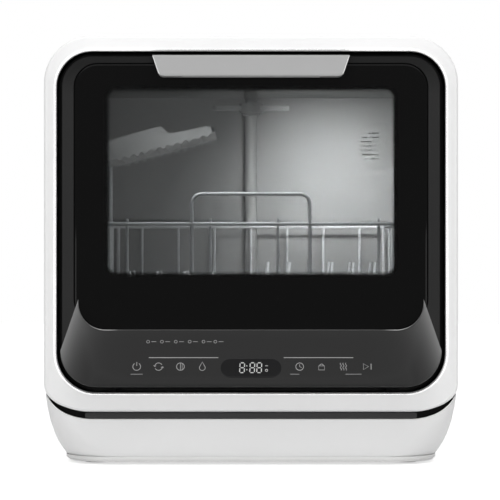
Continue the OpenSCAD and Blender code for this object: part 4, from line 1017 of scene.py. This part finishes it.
def welded(name, parts, material):
    """One body of wires; each of the parts is an object or (points, faces)."""
    objects = [p if isinstance(p, bpy.types.Object) else piece(name + "_part", *p, smooth=50)
               for p in parts]
    return join(name, objects, material)


# %% Basket wires
corners = [(-BX, BY0), (BX, BY0), (BX, BY1), (-BX, BY1)]
wires = [sweep([(x, y, z) for x, y in corners], WIRE / 2, closed=True, bend_r=12)
         for z in (Z_BASKET, Z_HOOP)]
wires.append(sweep([(-LOOP_HALF, BY0, Z_BASKET), (-LOOP_HALF, BY0, Z_LOOP), (LOOP_HALF, BY0, Z_LOOP),
                    (LOOP_HALF, BY0, Z_BASKET)], WIRE / 2, bend_r=12))
deep, tall = BY1 - BY0, Z_HOOP - Z_BASKET
long_step, cross_step = BX / 5.6, deep / 6
wires.append(row("floor_rods", 11, (-5 * long_step, BY0, Z_BASKET), (long_step, 0, 0), (0, deep, 0), ROD))
wires.append(row("cross_rods", 5, (-BX, BY0 + cross_step, Z_BASKET - 1.5), (0, cross_step, 0),
                 (2 * BX, 0, 0), ROD))
for x in (-BX, BX):
    wires.append(row("side_rods", 5, (x, BY0 + cross_step, Z_BASKET), (0, cross_step, 0), (0, 0, tall), ROD))
wires.append(row("back_rods", 7, (-3 * BX / 3.75, BY1, Z_BASKET), (BX / 3.75, 0, 0), (0, 0, tall), ROD))
for share in (-0.81, -0.266, 0.177, 0.835):
    wires.append(sweep([(share * BX, BY0, Z_BASKET), (share * BX, BY0, Z_HOOP + 5.5)], ROD / 2))
for x in (-1, 1):
    for y in (BY0, BY1):
        wires.append(sweep([(x * (BX - 4), y + (2 if y == BY0 else -2), Z_BASKET),
                            (x * (BX - 4), y + (2 if y == BY0 else -2), Z_HOOP)], WIRE / 2))
basket = welded("dish_basket_wires", wires, NYLON_WIRE)
dress(basket, "basket", "wire_chrome", "basket_floor", "basket_ends")

# %% [markdown]
# The tines that hold plates lean outwards from the middle: taller ones at the right for plates,
# and lower ones at the left for cups. Each row is one more run of the same tree, with the bar
# vector tilted. The left side also carries the two posts and the rod of the folding shelf.

# %% Tines, posts and the shelf's rod
lean, tine = 5, (Z_HOOP - Z_BASKET) * 0.55
parts = []
for y in (BY0 + deep / 3, BY1 - deep / 3):
    parts.append(row("tall_tines", 6, (14, y, Z_BASKET + 1), (23, 0, 0), (lean, 0, tine), ROD))
    parts.append(row("low_tines", 4, (-36, y, Z_BASKET + 1), (-30, 0, 0), (-lean, 0, tine * 0.8), ROD))
tines = welded("dish_tines", parts, NYLON_WIRE)
dress(tines, "basket", "wire_chrome", "basket_tines")

SHELF_Y0, SHELF_D = BY0 + deep * 0.15, deep * 0.57
SHELF_Z = box_mm("basket_sides")[1][2] - 2.5
posts = [sweep([(-BX, y, Z_BASKET), (-BX, y, SHELF_Z)], WIRE / 2)
         for y in (SHELF_Y0 - 4, SHELF_Y0 + SHELF_D + 4)]
posts.append(sweep([(-BX, SHELF_Y0 - 6, SHELF_Z), (-BX, SHELF_Y0 + SHELF_D + 6, SHELF_Z)], 2.5))
shelf_posts = welded("shelf_posts", posts, NYLON_WIRE)
dress(shelf_posts, "basket", "wire_chrome", "basket_sides")

# %% [markdown]
# ## The cup shelf
# The grey shelf folds on that rod. It is injection-moulded polypropylene: a slotted floor with a
# rim that is tall for its first half, steps down in a slope, and has a row of teeth along its
# underside, which line up with the wires below. It is drawn level and turned about the rod.

# %% Cup shelf
POLYPROPYLENE = moulded("polypropylene_grey", "B0B0B0", "A4A4A4", 0.4, grain=0.5, depth=0.02,
                        level=0.2)
SHELF_TILT = math.radians(15)
SHELF_L = BX - 36
TALL_END, STEP_RUN = SHELF_L * 0.56, 7.0


def tilted(points):
    c, s = math.cos(SHELF_TILT), math.sin(SHELF_TILT)
    return [(-BX + x * c - z * s, SHELF_Y0 + y, SHELF_Z + x * s + z * c) for x, y, z in points]


def rim_profile():
    """The rim's outline in X and Z: notched top edge, sloped step, low part, toothed foot."""
    top = [(3, 12), (14, 12.6), (14, 11.2), (17, 11.2), (17, 12.8), (30, 13.2), (30, 11.8), (33, 11.8),
           (33, 13.3), (TALL_END, 13.6), (TALL_END + STEP_RUN, 3.2), (SHELF_L - 5, 0.6), (SHELF_L, -1.5)]
    end = [(SHELF_L, -6.2), (SHELF_L - 3, -8)]
    teeth = []
    x = SHELF_L - 6
    while x > 14:
        teeth += [(x, -8), (x - 1.2, -10.2), (x - 4.2, -10.2), (x - 5.4, -8)]
        x -= 9.5
    return top + end + teeth + [(3, -8)]


def plate(profile, y0, y1):
    """A flat outline in X and Z, given a thickness in Y."""
    return loft([[(x, y0, z) for x, z in profile], [(x, y1, z) for x, z in profile]])


profile = rim_profile()
parts = [plate(profile, 0.3, 2.8), plate(profile, SHELF_D - 2.8, SHELF_D - 0.3)]
front_edge = [(SHELF_L - 2.5, -8), (SHELF_L, -8), (SHELF_L, -1.5), (SHELF_L - 2.5, -1)]
parts.append(plate(front_edge, 0.3, SHELF_D - 0.3))
parts = [piece("rim", tilted(p), f, smooth=20) for p, f in parts]
floor_part = piece("floor", tilted([(x, y, z) for x in (4, SHELF_L - 1) for y in (1, SHELF_D - 1)
                                    for z in (-6.6, -4)]), BOX_FACES, smooth=20)
SLOT_L, SLOT_PITCH, SLOT_EDGE = 16, 25, 12
slots = []
for i in range(4):
    for j in range(6):
        step = (SHELF_D - 2 * SLOT_EDGE) / 6
        x0, y0 = SLOT_L + i * SLOT_PITCH, SLOT_EDGE + j * (SHELF_D - 2 * SLOT_EDGE) / 6
        slots.append(piece("slot", tilted([(x, y, z) for x in (x0, x0 + SLOT_L) for y in (y0, y0 + step - 6)
                                           for z in (-12, 0)]), BOX_FACES, smooth=0))
cut(floor_part, join("slots", slots, None))
tidy_mesh(floor_part, 30)
HUB_R, BORE_R, HUB_ENDS = 6.4, 3.0, (0.1, SHELF_D - 0.1)
hub = [[(r * math.cos(t), y, r * math.sin(t)) for t in (math.pi * k / 12 for k in range(24))]
       for r, ends in ((HUB_R, HUB_ENDS), (BORE_R, HUB_ENDS[::-1])) for y in ends]
hub_points, hub_faces = loft(hub, closed=True)
parts += [floor_part, piece("hub", tilted(hub_points), hub_faces, smooth=40)]
shelf = join("cup_shelf", parts, POLYPROPYLENE)
dress(shelf, "basket_shelf", "grey_plastic", "basket_shelf")

# %% [markdown]
# ## The guard of the drying outlet
# In the tub's back wall a pressed steel guard covers the opening of the drying fan. Its slots
# repeat, so they are cut with the same tree.

# %% Fan guard
FAN_LOW, FAN_HIGH = box_mm("fan_impeller")
fan_x, fan_z = (FAN_LOW[0] + FAN_HIGH[0]) / 2, (FAN_LOW[2] + FAN_HIGH[2]) / 2
TUB_STEEL = moulded("pickled_stainless_steel", "9C9C9C", "909090", 0.5, grain=0.9, depth=0.01,
                    metallic=0.25, stretch=(1, 0.06, 1), spread=0.08, level=0.2)
# Painted shade: the flange's front face is coloured near-black, so that the gap round the door reads dark.
FLANGE_END = (box_mm("tub")[0][1] + 0.5) / 1000
tree, (_, tub_y, _) = place_of(TUB_STEEL)
coated = add(tree, "ShaderNodeMath", {0: tub_y, 1: FLANGE_END}, operation="LESS_THAN")
shaded_over(TUB_STEEL, coated.outputs[0], "0A0A0A")


def disc(radius, y, sides=48):
    return [(fan_x + radius * math.cos(t), y, fan_z + radius * math.sin(t))
            for t in (2 * math.pi * k / sides for k in range(sides))]


wall_y = box_mm("fan_housing")[0][1] - 1.6
guard = piece("fan_guard", *loft([disc(29, wall_y + 0.8), disc(28.6, wall_y + 0.2), disc(27.6, wall_y)]),
              TUB_STEEL, smooth=30)
cut(guard, row("guard_slots", 7, (fan_x - 16, wall_y - 3, fan_z - 15), (0, 0, 5), (0, 8, 0), (32, 1.4)))
tidy_mesh(guard, 30)
guard.data.materials.clear()
guard.data.materials.append(TUB_STEEL)
dress(guard, "cabinet", "steel")

# %% [markdown]
# ## Finishes for the rest
# The other CAD nodes already have the right shape, so each only gets its finish: brushed
# stainless steel for the tub and the inner door, EPDM rubber for hoses and feet, zinc-plated
# screws, a natural polyethylene tank, and so on. Every finish has a grain of its own.

# %% Materials of the carried-over nodes
STEEL = moulded("brushed_stainless_steel", "ABABAC", "A0A0A1", 0.3, grain=0.9, depth=0.01,
                metallic=0.9, stretch=(1, 0.06, 1), spread=0.09)
RUBBER = moulded("epdm_rubber", "1C1C1C", "161616", 0.75, grain=0.6, depth=0.03, level=0.3)
GASKET = moulded("silicone_gasket_black", "141414", "101010", 0.6, grain=0.6, depth=0.02)
ZINC = moulded("zinc_plated_steel", "B9BCBE", "A4A8AC", 0.3, grain=1.4, depth=0.01, metallic=0.95)
PUMP = moulded("glass_filled_polypropylene", "5A5C5E", "505254", 0.5, grain=0.7, depth=0.03)
MOTOR = moulded("rolled_motor_can", "9C9EA0", "8E9092", 0.38, grain=1.2, depth=0.01, metallic=0.9,
                stretch=(0.1, 1, 1))
HEATER = moulded("incoloy_heater_sheath", "6F6A66", "5C5855", 0.45, grain=0.8, depth=0.02, metallic=0.85)
TANK = moulded("natural_polyethylene", "E2E4E0", "D6D9D4", 0.5, grain=1.5, depth=0.04)
VALVE = moulded("blue_nylon_valve", "3E5F86", "37567B", 0.45, grain=0.7, depth=0.02)
BOX = moulded("flame_retardant_abs_box", "B9BABB", "AEB0B1", 0.5, grain=0.6, depth=0.02)
GREY_NYLON = moulded("grey_nylon", "8E9092", "86888A", 0.5, grain=0.5, depth=0.02)
BOARD = moulded("solder_masked_board", "1F5A3A", "194E31", 0.35, grain=1.6, depth=0.02)
BASE_PLATE = moulded("matt_abs_grey_white", "E6E6E5", "DEDEDD", 0.5, grain=0.5, depth=0.02)


def clear_glass(name):
    """Tempered float glass: see-through, and more mirror-like the flatter it is seen."""
    material, tree, out, coords = new_material(name)
    ripple = add(tree, "ShaderNodeTexNoise", {"Vector": coords, "Scale": 1000 / 80})
    relief = add(tree, "ShaderNodeBump", {"Strength": 0.03, "Distance": 0.0001, "Height": ripple.outputs[0]})
    gloss = add(tree, "ShaderNodeMapRange", {0: ripple.outputs[0], 3: 0.01, 4: 0.03})
    mirror = add(tree, "ShaderNodeBsdfGlossy", {"Roughness": gloss.outputs[0], "Normal": relief.outputs[0]})
    see = add(tree, "ShaderNodeBsdfTransparent", {"Color": srgb("F4F6F6")})
    share = add(tree, "ShaderNodeFresnel", {"IOR": 1.5, "Normal": relief.outputs[0]})
    both = add(tree, "ShaderNodeMixShader", {0: share.outputs[0], 1: see.outputs[0], 2: mirror.outputs[0]})
    tree.links.new(both.outputs[0], out.inputs[0])
    return material


CLEAR = clear_glass("tempered_float_glass")

# %% Finishes by node
FINISHES = {
    TUB_STEEL: ["tub"], STEEL: ["coarse_filter", "hinge_pins", "inner_panel"],
    RUBBER: ["rubber_feet", "riser_hose", "drain_hose", "tank_hose"],
    GASKET: ["tub_gasket"], ZINC: ["casing_screws", "inlet_connector"],
    PUMP: ["sump", "wash_pump", "drain_pump", "drain_spigot"], MOTOR: ["wash_motor"],
    HEATER: ["heater"], TANK: ["water_tank"], VALVE: ["inlet_valve"], BOX: ["power_box"],
    BLACK_NYLON: ["cable_gland", "latch_catch", "latch_hook", "hinge_arms"],
    GREY_NYLON: ["fan_housing", "fan_impeller", "vent_grille"],
    BOARD: ["display_board"], CLEAR: ["inner_glass"],
    POWDER: ["back_panel"], BASE_PLATE: ["base_plate"],
    POLYPROPYLENE: ["basket_rails", "basket_glides", "filter_cup", "spray_post", "lower_spray_arm",
                    "arm_retainer", "upper_spray_arm", "riser_pipe", "wash_impeller", "drain_impeller",
                    "fill_neck", "fill_cap", "detergent_cup", "detergent_lid"]}
for finish, names in FINISHES.items():
    for name in names:
        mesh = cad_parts[name].data
        mesh.materials.clear()
        mesh.materials.append(finish)
print("finished nodes:", sum(len(names) for names in FINISHES.values()))

# %% [markdown]
# ## Floor, light and camera
# The floor is white and keeps a soft shadow. A wide softbox above the front lights the faces, one
# overhead lights the top, and two low ones beside the camera bring out the base and the panel's
# corners. Four small lamps in the tub, which the camera doesn't see, stand for the light that a
# real kitchen lets in. The camera looks straight at the door.

# %% Floor
def looks_on(tree):
    """One for rays that show the studio itself: seen, mirrored or through glass."""
    rays = add(tree, "ShaderNodeLightPath").outputs
    seen = add(tree, "ShaderNodeMath", {0: rays["Is Camera Ray"], 1: rays["Is Glossy Ray"]},
               operation="MAXIMUM")
    return add(tree, "ShaderNodeMath", {0: seen.outputs[0], 1: rays["Is Transmission Ray"]},
               operation="MAXIMUM").outputs[0]


def white_floor(name):
    material, tree, out, coords = new_material(name)
    matt = add(tree, "ShaderNodeBsdfDiffuse", {"Color": srgb("FAFAFA")})
    lit = add(tree, "ShaderNodeEmission", {"Color": srgb("FFFFFF"), "Strength": 0.62})
    shine = add(tree, "ShaderNodeMixShader", {0: looks_on(tree), 2: lit.outputs[0]})
    both = add(tree, "ShaderNodeAddShader", {0: matt.outputs[0], 1: shine.outputs[0]})
    tree.links.new(both.outputs[0], out.inputs[0])
    return material


FLOOR_HALF, FLOOR_Z = 4000, -0.5
corners = [(x * FLOOR_HALF, y * FLOOR_HALF, FLOOR_Z) for x, y in ((-1, -1), (1, -1), (1, 1), (-1, 1))]
floor = piece("studio_floor", corners, [(0, 1, 2, 3)], white_floor("white_studio_floor"), smooth=0)

# %% World and lamps
world = bpy.data.worlds.new("studio")
bpy.context.scene.world = world
world.use_nodes = True
sky = world.node_tree
sky.nodes.clear()
ray = add(sky, "ShaderNodeTexCoord").outputs["Generated"]
height = add(sky, "ShaderNodeSeparateXYZ", {0: ray}).outputs
overhead = add(sky, "ShaderNodeMapRange", {0: height[2], 1: 0.0, 2: 1.0, 3: 0.1, 4: 0.75})
level = add(sky, "ShaderNodeMix", {0: looks_on(sky), 2: overhead.outputs[0], 3: 1.0})
back = add(sky, "ShaderNodeBackground", {"Color": srgb("FFFFFF"), "Strength": level.outputs[0]})
add(sky, "ShaderNodeOutputWorld", {0: back.outputs[0]})


def softbox(name, place, aim, size, watts):
    lamp = bpy.data.lights.new(name, "AREA")
    lamp.shape, lamp.size, lamp.size_y, lamp.energy = "RECTANGLE", size[0], size[1], watts
    obj = bpy.data.objects.new(name, lamp)
    bpy.context.collection.objects.link(obj)
    obj.location = place
    to = [a - p for a, p in zip(aim, place)]
    obj.rotation_euler = (math.atan2(math.hypot(to[0], to[1]), -to[2]), 0,
                          math.atan2(to[1], to[0]) - math.pi / 2)
    return obj


softbox("key", (0, -2.0, 1.0), (0, -0.2, 0.25), (1.4, 0.5), 7.2)
softbox("top", (0, -0.6, 1.3), (0, -0.2, 0.4), (1.0, 0.4), 5)
for side in (-1, 1):
    softbox("side", (side * 0.64, -2.1, 0.1), (0, -0.2, 0.15), (0.5, 0.3), 3.1)
# each one's place, aim, size, watts and spread in degrees
TUB_LIGHTS = (((0.10, -0.10, 0.384), (0.10, 0.15, 0.27), (0.10, 0.06), 0.42, 64),
              ((-0.09, -0.162, 0.388), (-0.09, -0.13, 0.33), (0.10, 0.01), 0.04, 120),
              ((0.04, -0.162, 0.388), (0.04, -0.14, 0.25), (0.22, 0.01), 0.25, 100),
              ((0.03, -0.155, 0.15), (0.04, 0.15, 0.33), (0.26, 0.03), 0.3, 120))
for *settings, degrees in TUB_LIGHTS:
    tub_light = softbox("tub_light", *settings)
    tub_light.visible_camera, tub_light.data.spread = False, math.radians(degrees)

# %% Camera
camera = bpy.data.objects.new("camera", bpy.data.cameras.new("camera"))
bpy.context.collection.objects.link(camera)
CAMERA_PLACE, LENS, SENSOR = (-0.0010, -2.4, 0.218), 156.6, 36
camera.location = CAMERA_PLACE
camera.rotation_euler = (math.radians(90), 0, 0)
camera.data.lens, camera.data.sensor_width = LENS, SENSOR
bpy.context.scene.camera = camera
bpy.context.scene.view_settings.view_transform = "Standard"

print("pieces made")
